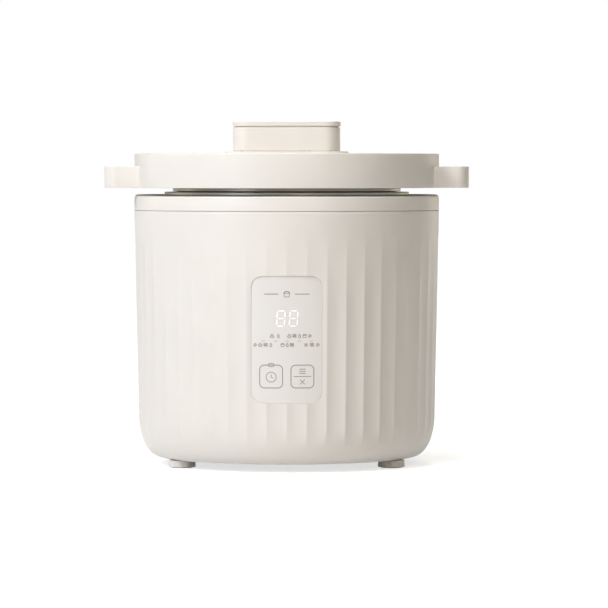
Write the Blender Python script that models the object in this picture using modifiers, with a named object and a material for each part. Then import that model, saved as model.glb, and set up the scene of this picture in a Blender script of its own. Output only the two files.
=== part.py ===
"""A two-litre electric pressure cooker with a fluted body and a twist-on lid.

Every piece is its own object, in metres, with +Z up. The origin is on the floor, on the
cooker's axis. The front, with the touch panel, faces -Y, and the lid's handles lie along X.
The helper functions take millimetres, because that is how the dimensions are stated.
"""
import math

import bmesh
import bpy
from mathutils import Matrix

MM = 0.001

# ---- driving dimensions, in millimetres ----
BODY_R = 105.0            # widest radius of the body
BODY_FOOT_R = 102.2       # radius where the bottom corner starts
CORNER_Z = 33.0           # height where the bottom corner starts
UNDERSIDE_Z = 5.4         # flat underside
CORNER_W = 14.6           # the bottom corner is a quarter ellipse, this wide
SHELL_WALL = 2.2
SEAM_Z = 174.8            # groove between the fluted shell and the collar
DECK_Z = 185.5            # top of the collar
DECK_CORNER = 2.5
DECK_HOLE_R = 84.8
DECK_T = 0.6              # steel plate over the collar
DECK_WRAP = 42.0          # the plate wraps round the collar's corner down to this angle
LEDGE_R = 76.0            # inner radius of the ledge that carries the bottom cover
LEDGE_Z = 8.2
LEDGE_T = 2.2
LID_R = 104.9
LID_Z = 190.0             # bottom edge of the lid
LID_TOP_Z = 213.5
LID_WALL = 2.5
HANDLE_REACH = 124.6      # half of the span over both handles
HANDLE_DEPTH = 62.0
HANDLE_TOP_Z = 204.7
HANDLE_CORNER = 9.0
PLINTH = (84.8, 55.4, 1.3)
KNOB = (73.4, 44.0, 16.1)
KNOB_CORNER = 11.0
KNOB_TOP_Z = 231.5
CAP = (74.0, 44.6, 3.1)
CAP_TOP_Z = 235.5
KNOB_WALL = 2.0
PANEL_W = 47.4
PANEL_H = 84.6
PANEL_MID_Z = 89.5
PANEL_CORNER = 8.0
PANEL_T = 2.4
PANEL_SINK = 0.6          # the panel lies this far below the shell's face
RING_R = 84.2             # locking ring, outside
RING_TOP_Z = 187.3
TOOTH_R = 76.0            # inner radius of the ring's teeth
TOOTH_DEG = 28.0
TOOTH_COUNT = 6
LUG_R = 79.4
LUG_DEG = 26.0
COLLAR_R = 78.6           # steel lid's rim above the teeth
NECK_R = 75.4             # steel lid's neck inside the teeth
POT_R = 72.5
POT_RIM_R = 75.0
POT_WALL = 1.3
POT_BOTTOM_Z = 60.3
POT_TOP_Z = 179.0
HOUSING_R = 81.6          # outer pot, outside
HOUSING_WALL = 1.3
HOUSING_Z = 40.8
PLATE_R = 62.0
PLATE_TOP_Z = 60.0
PLATE_T = 9.0
FOOT_R = 9.3
FOOT_CIRCLE_R = 82.1
FOOT_ANGLES = {"front_right": -30.0, "front_left": -150.0, "rear": 90.0}
SCREW_ANGLES = (30.0, 150.0, 270.0)
BASE_SCREW_CIRCLE_R = 80.0
LID_SCREW_CIRCLE_R = 50.0
KNOB_SCREW_X = 30.5
CAP_SPRING_X = 23.0
NOZZLE_X = 13.0           # steam nozzle, right of the axis
PUSH_X = -8.0             # where the cap presses the lever
LEVER_Z = 220.5           # lever's pivot
FLOAT_Y = 40.0
KEY_X = 10.2
KEY_Z = 65.1
DISPLAY_Z = 103.7
INLET_Z = 30.0
INLET_FACE_Y = 98.5
GAP = 0.3                 # clearance between pieces that rest on each other
BIG_STEPS = 48            # sides of the large outer rounds
MID_STEPS = 36            # sides of the large inner rounds
SMALL_STEPS = 16          # sides of the small rounds

FINISHES = {
    "ivory_plastic": ((0.80, 0.77, 0.73), 0.38, 0.0),
    "smoke_plastic": ((0.62, 0.60, 0.57), 0.30, 0.0),
    "steel": ((0.60, 0.59, 0.57), 0.25, 1.0),
    "aluminium": ((0.72, 0.72, 0.72), 0.45, 1.0),
    "coating": ((0.045, 0.045, 0.05), 0.40, 0.2),
    "silicone": ((0.80, 0.79, 0.76), 0.60, 0.0),
    "rubber": ((0.05, 0.05, 0.05), 0.85, 0.0),
    "black_plastic": ((0.03, 0.03, 0.035), 0.45, 0.0),
    "board_green": ((0.03, 0.16, 0.08), 0.50, 0.0),
    "copper": ((0.80, 0.42, 0.24), 0.35, 1.0),
    "brass": ((0.80, 0.62, 0.30), 0.30, 1.0),
    "zinc": ((0.70, 0.71, 0.73), 0.35, 1.0),
}


# ---- scene and material helpers ----
def clear_scene():
    for old in list(bpy.data.objects):
        bpy.data.objects.remove(old, do_unlink=True)


def new_collection(name):
    collection = bpy.data.collections.new(name)
    bpy.context.scene.collection.children.link(collection)
    return collection


def material(name, finish):
    colour, roughness, metallic = FINISHES[finish]
    made = bpy.data.materials.new(name + "_" + finish)
    made.use_nodes = True
    shader = made.node_tree.nodes["Principled BSDF"]
    shader.inputs["Base Color"].default_value = (*colour, 1.0)
    shader.inputs["Roughness"].default_value = roughness
    shader.inputs["Metallic"].default_value = metallic
    made.diffuse_color = (*colour, 1.0)
    return made


def place(name, data, finish, frame=None, at=(0.0, 0.0, 0.0)):
    """Link a piece (with a finish) or a cutter (finish None), with its origin at `at`."""
    obj = bpy.data.objects.new(name, data)
    obj.location = [value * MM for value in at]
    if finish is None:
        CUTTERS.objects.link(obj)
        obj.hide_render = True
        obj.display_type = "WIRE"
        return obj
    PARTS.objects.link(obj)
    data.materials.append(material(name, finish))
    obj.parent = frame
    return obj


def axis_frame(name):
    """Empty on the cooker's axis that carries one moving group."""
    empty = bpy.data.objects.new(name, None)
    PARTS.objects.link(empty)
    return empty


def mesh_from(bm, name, smooth=True):
    mesh = bpy.data.meshes.new(name)
    bm.to_mesh(mesh)
    bm.free()
    if smooth:
        mesh.shade_smooth()
        mesh.set_sharp_from_angle(angle=math.radians(35.0))
    return mesh


# ---- shape helpers, all in millimetres ----
def turned(name, profile, finish, frame=None, steps=MID_STEPS, at=(0.0, 0.0, 0.0)):
    """Turn a profile of (radius, z) points. It runs down the outer side, then up the inner."""
    on_axis = profile[0][0] == 0.0 and profile[-1][0] == 0.0
    mesh = bpy.data.meshes.new(name)
    points = [(radius * MM, 0.0, z * MM) for radius, z in profile]
    edges = [(i, i + 1) for i in range(len(points) - 1)]
    if not on_axis:
        edges.append((len(points) - 1, 0))
    mesh.from_pydata(points, edges, [])
    obj = place(name, mesh, finish, frame, at)
    screw = obj.modifiers.new("turn", "SCREW")
    screw.axis = "Z"
    screw.steps = steps
    screw.render_steps = steps
    screw.use_merge_vertices = True
    screw.merge_threshold = 0.00001
    screw.use_smooth_shade = True
    return obj


def ellipse_arc(centre, half_width, half_height, start_deg, end_deg, count):
    """Points on an ellipse, with 0 degrees outwards and -90 degrees down."""
    angles = [math.radians(start_deg + (end_deg - start_deg) * i / count) for i in range(count + 1)]
    return [(centre[0] + half_width * math.cos(a), centre[1] + half_height * math.sin(a)) for a in angles]


def add_block(bm, size, centre, radius=0.0, along="Z", segments=4):
    """Box in a bmesh, with the four edges along one axis rounded."""
    made = bmesh.ops.create_cube(bm, size=1.0)["verts"]
    bmesh.ops.scale(bm, vec=[value * MM for value in size], verts=made)
    bmesh.ops.translate(bm, vec=[value * MM for value in centre], verts=made)
    if radius > 0.0:
        axis = "XYZ".index(along)
        edges = {edge for vert in made for edge in vert.link_edges}
        ridges = [edge for edge in edges if abs(edge.verts[0].co[axis] - edge.verts[1].co[axis]) > 1e-6]
        bmesh.ops.bevel(bm, geom=ridges, offset=radius * MM, offset_type="OFFSET", segments=segments,
                        profile=0.5, affect="EDGES")


def add_rod(bm, radius, length, centre, along="Z", steps=SMALL_STEPS):
    """Cylinder in a bmesh."""
    made = bmesh.ops.create_cone(bm, cap_ends=True, segments=steps, radius1=radius * MM,
                                 radius2=radius * MM, depth=length * MM)["verts"]
    if along == "Y":
        bmesh.ops.rotate(bm, verts=made, matrix=TURN_Z_TO_Y)
    bmesh.ops.translate(bm, vec=[value * MM for value in centre], verts=made)


def add_sector(bm, inner, outer, low, high, middle_deg, width_deg, steps=4):
    """Part of a ring in a bmesh: a rectangle spun about the Z axis."""
    start = math.radians(middle_deg - width_deg / 2.0)
    corners = [(inner, low), (outer, low), (outer, high), (inner, high)]
    verts = [bm.verts.new((r * MM * math.cos(start), r * MM * math.sin(start), z * MM)) for r, z in corners]
    face = bm.faces.new(verts)
    bmesh.ops.spin(bm, geom=[face] + face.edges[:] + verts, cent=(0.0, 0.0, 0.0), axis=(0.0, 0.0, 1.0),
                   angle=math.radians(width_deg), steps=steps, use_duplicate=False)


def block(name, size, centre, finish, frame=None, radius=0.0, along="Z", segments=4):
    bm = bmesh.new()
    add_block(bm, size, centre, radius, along, segments)
    return place(name, mesh_from(bm, name), finish, frame)


def tools(name, blocks=(), rods=()):
    """One cutter or joining body made of separate blocks and rods."""
    bm = bmesh.new()
    for spec in blocks:
        add_block(bm, *spec)
    for spec in rods:
        add_rod(bm, *spec)
    return place(name, mesh_from(bm, name, smooth=False), None)


def sectors(name, inner, outer, low, high, first_deg, width_deg):
    """Ring of teeth as one joining body."""
    bm = bmesh.new()
    for index in range(TOOTH_COUNT):
        add_sector(bm, inner, outer, low, high, first_deg + index * 360.0 / TOOTH_COUNT, width_deg)
    bmesh.ops.recalc_face_normals(bm, faces=bm.faces)
    return place(name, mesh_from(bm, name, smooth=False), None)


def combine(obj, other, operation):
    boolean = obj.modifiers.new(operation.lower(), "BOOLEAN")
    boolean.operation = operation
    boolean.solver = "EXACT"
    boolean.object = other


def wire(name, points, radius, finish, frame=None):
    """Round wire along a list of points."""
    curve = bpy.data.curves.new(name, "CURVE")
    curve.dimensions = "3D"
    curve.bevel_depth = radius * MM
    curve.bevel_resolution = 2
    curve.use_fill_caps = True
    spline = curve.splines.new("POLY")
    spline.points.add(len(points) - 1)
    for slot, point in zip(spline.points, points):
        slot.co = (point[0] * MM, point[1] * MM, point[2] * MM, 1.0)
    return place(name, curve, finish, frame)


def coil(centre, radius, start, end, turns, along="Z", per_turn=7):
    """Points of a helix that runs from `start` to `end` along one axis."""
    points = []
    count = int(turns * per_turn)
    for index in range(count + 1):
        angle = 2.0 * math.pi * index / per_turn
        reach = start + (end - start) * index / count
        side, up = radius * math.cos(angle), radius * math.sin(angle)
        if along == "Z":
            points.append((centre[0] + side, centre[1] + up, reach))
        else:
            points.append((centre[0] + side, reach, centre[1] + up))
    return points


def polar(radius, degrees):
    return radius * math.cos(math.radians(degrees)), radius * math.sin(math.radians(degrees))


def side_radius(z):
    """Outer radius of the shell's tapered side at height z."""
    share = (z - CORNER_Z) / (SEAM_Z - CORNER_Z)
    return BODY_FOOT_R + (BODY_R - BODY_FOOT_R) * share


def screw_piece(name, x, y, head_low, head_high, tip, head_radius, frame):
    """Pan-head screw that points up."""
    shank = 1.4
    profile = [(0.0, tip), (shank * 0.6, tip), (shank, tip - 1.0), (shank, head_high),
               (head_radius, head_high), (head_radius, head_low + 0.6), (head_radius - 0.7, head_low),
               (0.0, head_low)]
    return turned(name, profile, "zinc", frame, steps=12, at=(x, y, 0.0))


# ---- body ----
def make_outer_shell(frame):
    corner = (BODY_FOOT_R - CORNER_W, CORNER_Z)
    corner_h = CORNER_Z - UNDERSIDE_Z
    top_z = SEAM_Z - GAP
    top_r = side_radius(top_z)
    outside = [(top_r - 0.4, top_z), (top_r, top_z - 0.4)]
    outside += ellipse_arc(corner, CORNER_W, corner_h, 0.0, -90.0, 6)
    lip_r = corner[0] + 0.2
    ledge_top = LEDGE_Z + LEDGE_T
    inside = [(lip_r, LEDGE_Z), (LEDGE_R, LEDGE_Z), (LEDGE_R, ledge_top)]
    inside += ellipse_arc(corner, CORNER_W - SHELL_WALL, CORNER_Z - ledge_top, -90.0, 0.0, 3)
    inside += [(top_r - SHELL_WALL, top_z)]
    outside[-1] = (lip_r, UNDERSIDE_Z)
    shell = turned("outer_shell", outside + inside, "ivory_plastic", frame, steps=BIG_STEPS)
    window = ((PANEL_W + 2 * GAP, 30.0, PANEL_H + 2 * GAP), (0.0, -BODY_R, PANEL_MID_Z), PANEL_CORNER, "Y")
    inlet = ((30.0, 30.0, 24.0), (0.0, BODY_R, INLET_Z), 2.0, "Y", 2)
    holes = [(1.8, 12.0, (*polar(BASE_SCREW_CIRCLE_R, a), LEDGE_Z), "Z", 12) for a in SCREW_ANGLES]
    combine(shell, tools("shell_openings", [window, inlet], holes), "DIFFERENCE")


def make_top_collar(frame):
    arc_centre = (BODY_R - DECK_CORNER, DECK_Z - DECK_CORNER)
    under = DECK_CORNER - DECK_T - GAP
    skirt_r = BODY_R - SHELL_WALL - GAP - 0.1
    profile = [(DECK_HOLE_R, DECK_Z - DECK_T - GAP)] + ellipse_arc(arc_centre, under, under, 90.0, DECK_WRAP, 2)
    profile += ellipse_arc(arc_centre, DECK_CORNER, DECK_CORNER, DECK_WRAP - 8.0, 0.0, 2)
    profile += [(BODY_R, SEAM_Z), (skirt_r, SEAM_Z), (skirt_r, SEAM_Z - 6.0), (skirt_r - 2.0, SEAM_Z - 6.0),
                (skirt_r - 2.0, DECK_Z - 2.4), (DECK_HOLE_R, DECK_Z - 2.4)]
    turned("top_collar", profile, "ivory_plastic", frame, steps=BIG_STEPS)
    outside = ellipse_arc(arc_centre, DECK_CORNER, DECK_CORNER, 90.0, DECK_WRAP, 2)
    inner = DECK_CORNER - DECK_T
    inside = ellipse_arc(arc_centre, inner, inner, DECK_WRAP, 90.0, 2)
    plate = [(DECK_HOLE_R, DECK_Z)] + outside + inside + [(DECK_HOLE_R, DECK_Z - DECK_T)]
    turned("deck_plate", plate, "steel", frame, steps=BIG_STEPS)


def make_locking_ring(frame):
    inner = HOUSING_R - HOUSING_WALL
    profile = [(inner, RING_TOP_Z), (RING_R - 0.5, RING_TOP_Z), (RING_R, RING_TOP_Z - 0.5), (RING_R, 183.0),
               (inner, 183.0)]
    ring = turned("locking_ring", profile, "steel", frame)
    teeth = sectors("ring_teeth", TOOTH_R, inner + 0.8, 184.6, RING_TOP_Z - 0.1, 30.0, TOOTH_DEG)
    combine(ring, teeth, "UNION")


def make_outer_pot(frame):
    flange_r = 88.0
    top_z = 182.7
    corner = 11.0
    inner = HOUSING_R - HOUSING_WALL
    floor_z = HOUSING_Z + HOUSING_WALL
    outer_arc = ellipse_arc((HOUSING_R - corner, HOUSING_Z + corner), corner, corner, 0.0, -90.0, 2)
    inner_arc = ellipse_arc((HOUSING_R - corner, HOUSING_Z + corner), inner - HOUSING_R + corner,
                            corner - HOUSING_WALL, -90.0, 0.0, 2)
    profile = [(flange_r, top_z), (flange_r, top_z - 1.5), (HOUSING_R, top_z - 1.5)] + outer_arc
    profile += [(9.0, HOUSING_Z), (9.0, floor_z)] + inner_arc + [(inner, top_z)]
    pot = turned("outer_pot", profile, "steel", frame)
    rods = [(4.2, 6.0, (*polar(40.0, a), HOUSING_Z), "Z", 12) for a in (75.0, 105.0)]
    combine(pot, tools("terminal_holes", (), rods), "DIFFERENCE")


def make_heating(frame):
    low = PLATE_TOP_Z - PLATE_T
    hole_r = 12.5
    profile = [(hole_r, PLATE_TOP_Z), (PLATE_R - 1.5, PLATE_TOP_Z), (PLATE_R, PLATE_TOP_Z - 1.5), (PLATE_R, low),
               (hole_r, low)]
    turned("heating_plate", profile, "aluminium", frame)
    ring_r = 40.0
    ring_z = 46.6
    rise = [(0.0, 33.0), (0.0, 42.4), (4.0, 45.6), (9.0, ring_z)]
    angles = [105.0 + 9.0 + (342.0 - 12.0 - 12.0) * i / 20 for i in range(1, 21)]
    points = [(*polar(ring_r, 105.0 + turn), z) for turn, z in rise]
    points += [(*polar(ring_r, a), ring_z) for a in angles]
    points += [(*polar(ring_r, 435.0 - turn), z) for turn, z in reversed(rise[:-1])]
    wire("heating_element", points, 3.2, "zinc", frame)
    heat_shield = [(89.5, 174.0), (89.5, 62.0), (88.7, 62.0), (88.7, 174.0)]
    turned("heat_shield", heat_shield, "aluminium", frame)


def make_sensor(frame, sensor_frame):
    cup = [(16.0, 40.5), (16.0, 39.0), (11.0, 39.0), (11.0, 31.5), (5.6, 31.5), (5.6, 33.0), (9.5, 33.0),
           (9.5, 40.5)]
    turned("sensor_bracket", cup, "zinc", frame, steps=SMALL_STEPS)
    wire("sensor_spring", coil((0.0, 0.0), 7.0, 33.9, 52.0, 4), 0.6, "steel", frame)
    body = [(0.0, PLATE_TOP_Z), (10.7, PLATE_TOP_Z), (11.5, PLATE_TOP_Z - 0.8), (11.5, 53.0), (5.0, 53.0),
            (5.0, 29.0), (0.0, 29.0)]
    turned("temperature_sensor", body, "aluminium", sensor_frame, steps=24)
    block("thermal_fuse", (16.0, 8.0, 5.0), (-34.0, 8.0, 38.0), "zinc", frame, 2.0, "X", 2)
    block("pressure_switch", (22.0, 12.0, 14.0), (34.0, 10.0, 33.4), "black_plastic", frame, 1.5, "Z", 2)


def make_bottom(frame):
    cover_r = BODY_FOOT_R - CORNER_W - 0.1
    top_z = UNDERSIDE_Z + 2.5
    profile = [(0.0, top_z), (cover_r, top_z), (cover_r, UNDERSIDE_Z), (0.0, UNDERSIDE_Z)]
    cover = turned("bottom_cover", profile, "ivory_plastic", frame, steps=BIG_STEPS)
    posts = [(3.0, 4.2, (x, y, top_z + 1.7), "Z", 12) for x in (-38.0, 38.0) for y in (-56.0, -24.0)]
    combine(cover, tools("board_posts", (), posts), "UNION")
    mid_z = (UNDERSIDE_Z + top_z) / 2
    slots = [((3.0, 24.0, 8.0), (x, y, mid_z))
             for x in (-24.0, -16.0, -8.0, 0.0, 8.0, 16.0, 24.0) for y in (17.0, 47.0)]
    holes = []
    for angle in SCREW_ANGLES:
        x, y = polar(BASE_SCREW_CIRCLE_R, angle)
        holes += [(1.8, 8.0, (x, y, mid_z), "Z", 12)]
    for angle in FOOT_ANGLES.values():
        x, y = polar(FOOT_CIRCLE_R - 3.0, angle)
        holes += [(2.8, 8.0, (x, y, mid_z), "Z", 12)]
    combine(cover, tools("cover_openings", slots, holes), "DIFFERENCE")
    sinks = [(3.5, 4.0, (*polar(BASE_SCREW_CIRCLE_R, a), UNDERSIDE_Z - 0.4), "Z", 12) for a in SCREW_ANGLES]
    combine(cover, tools("screw_sinks", (), sinks), "DIFFERENCE")
    for index, angle in enumerate(SCREW_ANGLES, 1):
        x, y = polar(BASE_SCREW_CIRCLE_R, angle)
        screw_piece("base_screw_%d" % index, x, y, UNDERSIDE_Z, UNDERSIDE_Z + 1.4, 13.0, 3.1, frame)


def make_feet(frame):
    pad_r = FOOT_R - 2.0
    pad_top = 1.4
    stand = 0.4
    top = UNDERSIDE_Z - GAP
    for name, angle in FOOT_ANGLES.items():
        x, y = polar(FOOT_CIRCLE_R, angle)
        profile = [(0.0, top), (FOOT_R, top), (FOOT_R, stand + 0.6), (FOOT_R - 0.6, stand), (pad_r + GAP, stand),
                   (pad_r + GAP, pad_top + GAP), (0.0, pad_top + GAP)]
        foot = turned("foot_" + name, profile, "ivory_plastic", frame, steps=SMALL_STEPS, at=(x, y, 0.0))
        peg_x, peg_y = polar(FOOT_CIRCLE_R - 3.0, angle)
        peg = tools("foot_peg_" + name, (), [(2.5, 4.0, (peg_x, peg_y, top + 0.6), "Z", 12)])
        combine(foot, peg, "UNION")
        pad = [(0.0, pad_top), (pad_r, pad_top), (pad_r, 0.0), (0.0, 0.0)]
        turned("foot_pad_" + name, pad, "rubber", frame, steps=SMALL_STEPS, at=(x, y, 0.0))


def make_inlet(frame):
    depth = 18.0
    mid_y = INLET_FACE_Y - depth / 2
    inlet = block("power_inlet", (29.4, depth, 23.4), (0.0, mid_y, INLET_Z), "black_plastic", frame, 1.7, "Y", 2)
    socket = ((24.0, 30.0, 16.6), (0.0, INLET_FACE_Y, INLET_Z), 3.0, "Y", 2)
    pins = {"left": (-7.0, -1.0), "right": (7.0, -1.0), "earth": (0.0, 3.5)}
    slits = [((2.6, 40.0, 4.6), (x, mid_y, INLET_Z + z)) for x, z in pins.values()]
    combine(inlet, tools("inlet_socket", [socket]), "DIFFERENCE")
    combine(inlet, tools("inlet_slits", slits), "DIFFERENCE")
    for name, (x, z) in pins.items():
        block("inlet_pin_" + name, (2.0, 22.0, 4.0), (x, INLET_FACE_Y - 14.0, INLET_Z + z), "brass", frame,
              0.5, "Y", 1)


def make_electronics(frame):
    board_y = -40.0
    board_z = 12.8
    block("power_board", (96.0, 48.0, 1.6), (0.0, board_y, board_z), "board_green", frame, 2.0, "Z", 2)
    low = board_z + 0.8 + GAP
    block("transformer", (26.0, 22.0, 20.0), (-24.0, board_y, low + 10.0), "black_plastic", frame, 1.0, "Z", 2)
    block("relay", (16.0, 20.0, 15.0), (6.0, board_y, low + 7.5), "smoke_plastic", frame, 1.0, "Z", 2)
    block("filter_capacitor", (10.0, 24.0, 16.0), (32.0, board_y, low + 8.0), "smoke_plastic", frame, 1.5, "Z", 2)


def make_panel(frame):
    low = PANEL_MID_Z - PANEL_H
    high = PANEL_MID_Z + PANEL_H
    outer_high, outer_low = (side_radius(z) - PANEL_SINK for z in (high, low))
    ring = [(outer_high, high), (outer_low, low), (outer_low - PANEL_T, low), (outer_high - PANEL_T, high)]
    panel = turned("control_panel", ring, "smoke_plastic", frame, steps=BIG_STEPS)
    outline = ((PANEL_W, 40.0, PANEL_H), (0.0, -BODY_R, PANEL_MID_Z), PANEL_CORNER, "Y")
    combine(panel, tools("panel_outline", [outline]), "INTERSECT")
    block("control_board", (42.0, 1.6, 78.0), (0.0, -94.0, PANEL_MID_Z), "board_green", frame, 2.0, "Y", 2)
    block("display_module", (24.0, 4.4, 15.0), (0.0, -97.4, DISPLAY_Z), "black_plastic", frame, 1.0, "Y", 2)
    tray = block("board_tray", (46.0, 5.0, 82.0), (0.0, -93.5, PANEL_MID_Z), "black_plastic", frame, 2.5, "Y", 2)
    pocket = ((42.8, 6.0, 78.8), (0.0, -95.0, PANEL_MID_Z), 2.0, "Y", 2)
    combine(tray, tools("tray_pocket", [pocket]), "DIFFERENCE")
    for side, x in (("left", -KEY_X), ("right", KEY_X)):
        points = coil((x, KEY_Z), 3.6, -95.8, -98.2, 2.5, along="Y")
        wire("touch_spring_" + side, points, 0.5, "copper", frame)
    lead = [(14.0, -88.9, 56.0), (14.0, -86.5, 49.0), (14.0, -79.0, 41.0), (14.0, -70.0, 33.0),
            (14.0, -62.0, 24.0), (14.0, -60.0, 15.6)]
    wire("display_lead", lead, 1.5, "rubber", frame)


# ---- inner pot and sealing ring ----
def make_inner_pot(frame):
    corner = 12.5
    inner = POT_R - POT_WALL
    centre = (POT_R - corner, POT_BOTTOM_Z + corner)
    outer_arc = ellipse_arc(centre, corner, corner, 0.0, -90.0, 3)
    inner_arc = ellipse_arc(centre, corner - POT_WALL, corner - 1.6, -90.0, 0.0, 3)
    profile = [(POT_RIM_R - 0.4, POT_TOP_Z), (POT_RIM_R, POT_TOP_Z - 0.5), (POT_RIM_R, POT_TOP_Z - 1.3),
               (POT_R, POT_TOP_Z - 2.2)] + outer_arc + [(0.0, POT_BOTTOM_Z)]
    profile = [(0.0, POT_BOTTOM_Z + 1.6)] + inner_arc + [(inner, POT_TOP_Z)] + profile
    turned("inner_pot", profile, "coating", frame)


def make_sealing_ring(frame):
    profile = [(67.8, 188.7), (73.4, 188.7), (73.4, 181.6), (72.0, POT_TOP_Z + GAP), (70.0, POT_TOP_Z + GAP),
               (68.4, 182.4), (66.6, 184.0)]
    turned("sealing_ring", profile, "silicone", frame)


# ---- lid ----
def make_lid_cover(frame):
    rim = 1.2
    roof_z = LID_TOP_Z - LID_WALL
    disc = [(0.0, LID_TOP_Z), (LID_R - rim, LID_TOP_Z), (LID_R - 0.35, LID_TOP_Z - 0.35), (LID_R, LID_TOP_Z - rim),
            (LID_R, LID_Z), (0.0, LID_Z)]
    cover = turned("lid_cover", disc, "ivory_plastic", frame, steps=BIG_STEPS)
    low = LID_Z + 0.1
    handles = ((2 * HANDLE_REACH, HANDLE_DEPTH, HANDLE_TOP_Z - low), (0.0, 0.0, (HANDLE_TOP_Z + low) / 2),
               HANDLE_CORNER, "Z")
    combine(cover, tools("handle_blocks", [handles]), "UNION")
    hollow = [(0.0, roof_z), (LID_R - LID_WALL, roof_z), (LID_R - LID_WALL, LID_Z - 5.0), (0.0, LID_Z - 5.0)]
    combine(cover, turned("lid_hollow", hollow, None, steps=BIG_STEPS), "DIFFERENCE")
    inner_top = HANDLE_TOP_Z - LID_WALL
    inner_low = LID_Z - 6.0
    inside = ((2 * (HANDLE_REACH - LID_WALL), HANDLE_DEPTH - 2 * LID_WALL, inner_top - inner_low),
              (0.0, 0.0, (inner_top + inner_low) / 2), HANDLE_CORNER - LID_WALL, "Z")
    combine(cover, tools("handle_hollow", [inside]), "DIFFERENCE")
    boss_low = 198.0
    bosses = [(4.5, roof_z + 1.0 - boss_low, (*polar(LID_SCREW_CIRCLE_R, a), (roof_z + 1.0 + boss_low) / 2))
              for a in SCREW_ANGLES]
    combine(cover, tools("lid_bosses", (), bosses), "UNION")
    bores = [(1.8, 12.0, (*polar(LID_SCREW_CIRCLE_R, a), 202.0), "Z", 12) for a in SCREW_ANGLES]
    bores += [(1.9, 12.0, (x, 0.0, roof_z), "Z", 12) for x in (-KNOB_SCREW_X, KNOB_SCREW_X)]
    bores += [(4.6, 12.0, (NOZZLE_X, 0.0, roof_z)), (4.2, 12.0, (0.0, FLOAT_Y, roof_z))]
    combine(cover, tools("lid_bores", (), bores), "DIFFERENCE")


def make_lid_liner(frame):
    low = LID_Z + 0.4
    high = LID_Z + 2.4
    outer = LID_R - LID_WALL - GAP
    disc = [(0.0, high), (outer, high), (outer, low), (0.0, low)]
    liner = turned("lid_liner", disc, "ivory_plastic", frame, steps=BIG_STEPS)
    reach = HANDLE_REACH - LID_WALL - GAP
    wings = ((2 * reach, HANDLE_DEPTH - 2 * LID_WALL - 2 * GAP, high - low), (0.0, 0.0, (high + low) / 2),
             HANDLE_CORNER - LID_WALL - GAP, "Z")
    combine(liner, tools("liner_wings", [wings]), "UNION")
    hole = [(0.0, high + 2.0), (COLLAR_R + 0.5, high + 2.0), (COLLAR_R + 0.5, low - 2.0), (0.0, low - 2.0)]
    combine(liner, turned("liner_hole", hole, None, steps=BIG_STEPS), "DIFFERENCE")


def make_steel_lid(frame):
    sheet = 1.5
    shelf_z = 190.6
    outside = [(0.0, 198.0), (28.0, 197.8), (56.0, 197.2), (60.0, 195.5), (62.0, shelf_z), (COLLAR_R, shelf_z),
               (COLLAR_R, 187.7), (NECK_R, 187.7), (NECK_R, 180.6)]
    inside = [(NECK_R - sheet, 180.6), (NECK_R - sheet, shelf_z - sheet), (60.5, shelf_z - sheet), (58.6, 194.6),
              (55.3, 195.7), (28.0, 196.3), (0.0, 196.5)]
    lid = turned("steel_lid", outside + inside, "steel", frame)
    combine(lid, sectors("lid_lugs", NECK_R - 0.7, LUG_R, 180.9, 184.1, 0.0, LUG_DEG), "UNION")
    holes = [(1.9, 12.0, (*polar(LID_SCREW_CIRCLE_R, a), 196.0), "Z", 12) for a in SCREW_ANGLES]
    holes += [(4.4, 12.0, (NOZZLE_X, 0.0, 196.0)), (2.6, 12.0, (0.0, FLOAT_Y, 196.0), "Z", 12)]
    combine(lid, tools("steel_lid_holes", (), holes), "DIFFERENCE")
    for index, angle in enumerate(SCREW_ANGLES, 1):
        x, y = polar(LID_SCREW_CIRCLE_R, angle)
        screw_piece("lid_screw_%d" % index, x, y, 193.2, 195.3, 206.0, 3.5, frame)


def make_steam_path(frame):
    nozzle = [(4.0, 217.0), (4.0, 201.0), (7.0, 201.0), (7.0, 198.3), (4.0, 198.3), (4.0, 190.5), (1.6, 190.5),
              (1.6, 217.0)]
    turned("vent_nozzle", nozzle, "steel", frame, steps=SMALL_STEPS, at=(NOZZLE_X, 0.0, 0.0))
    cup = [(0.0, 189.5), (8.0, 189.5), (8.0, 195.8), (9.0, 195.8), (9.0, 188.5), (0.0, 188.5)]
    cup_filter = turned("vent_filter", cup, "steel", frame, steps=24, at=(NOZZLE_X, 0.0, 0.0))
    slits = [((22.0, 1.4, 3.0), (NOZZLE_X, 0.0, 192.5)), ((1.4, 22.0, 3.0), (NOZZLE_X, 0.0, 192.5))]
    for index, slit in enumerate(slits):
        combine(cup_filter, tools("filter_slit_%d" % index, [slit]), "DIFFERENCE")


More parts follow.
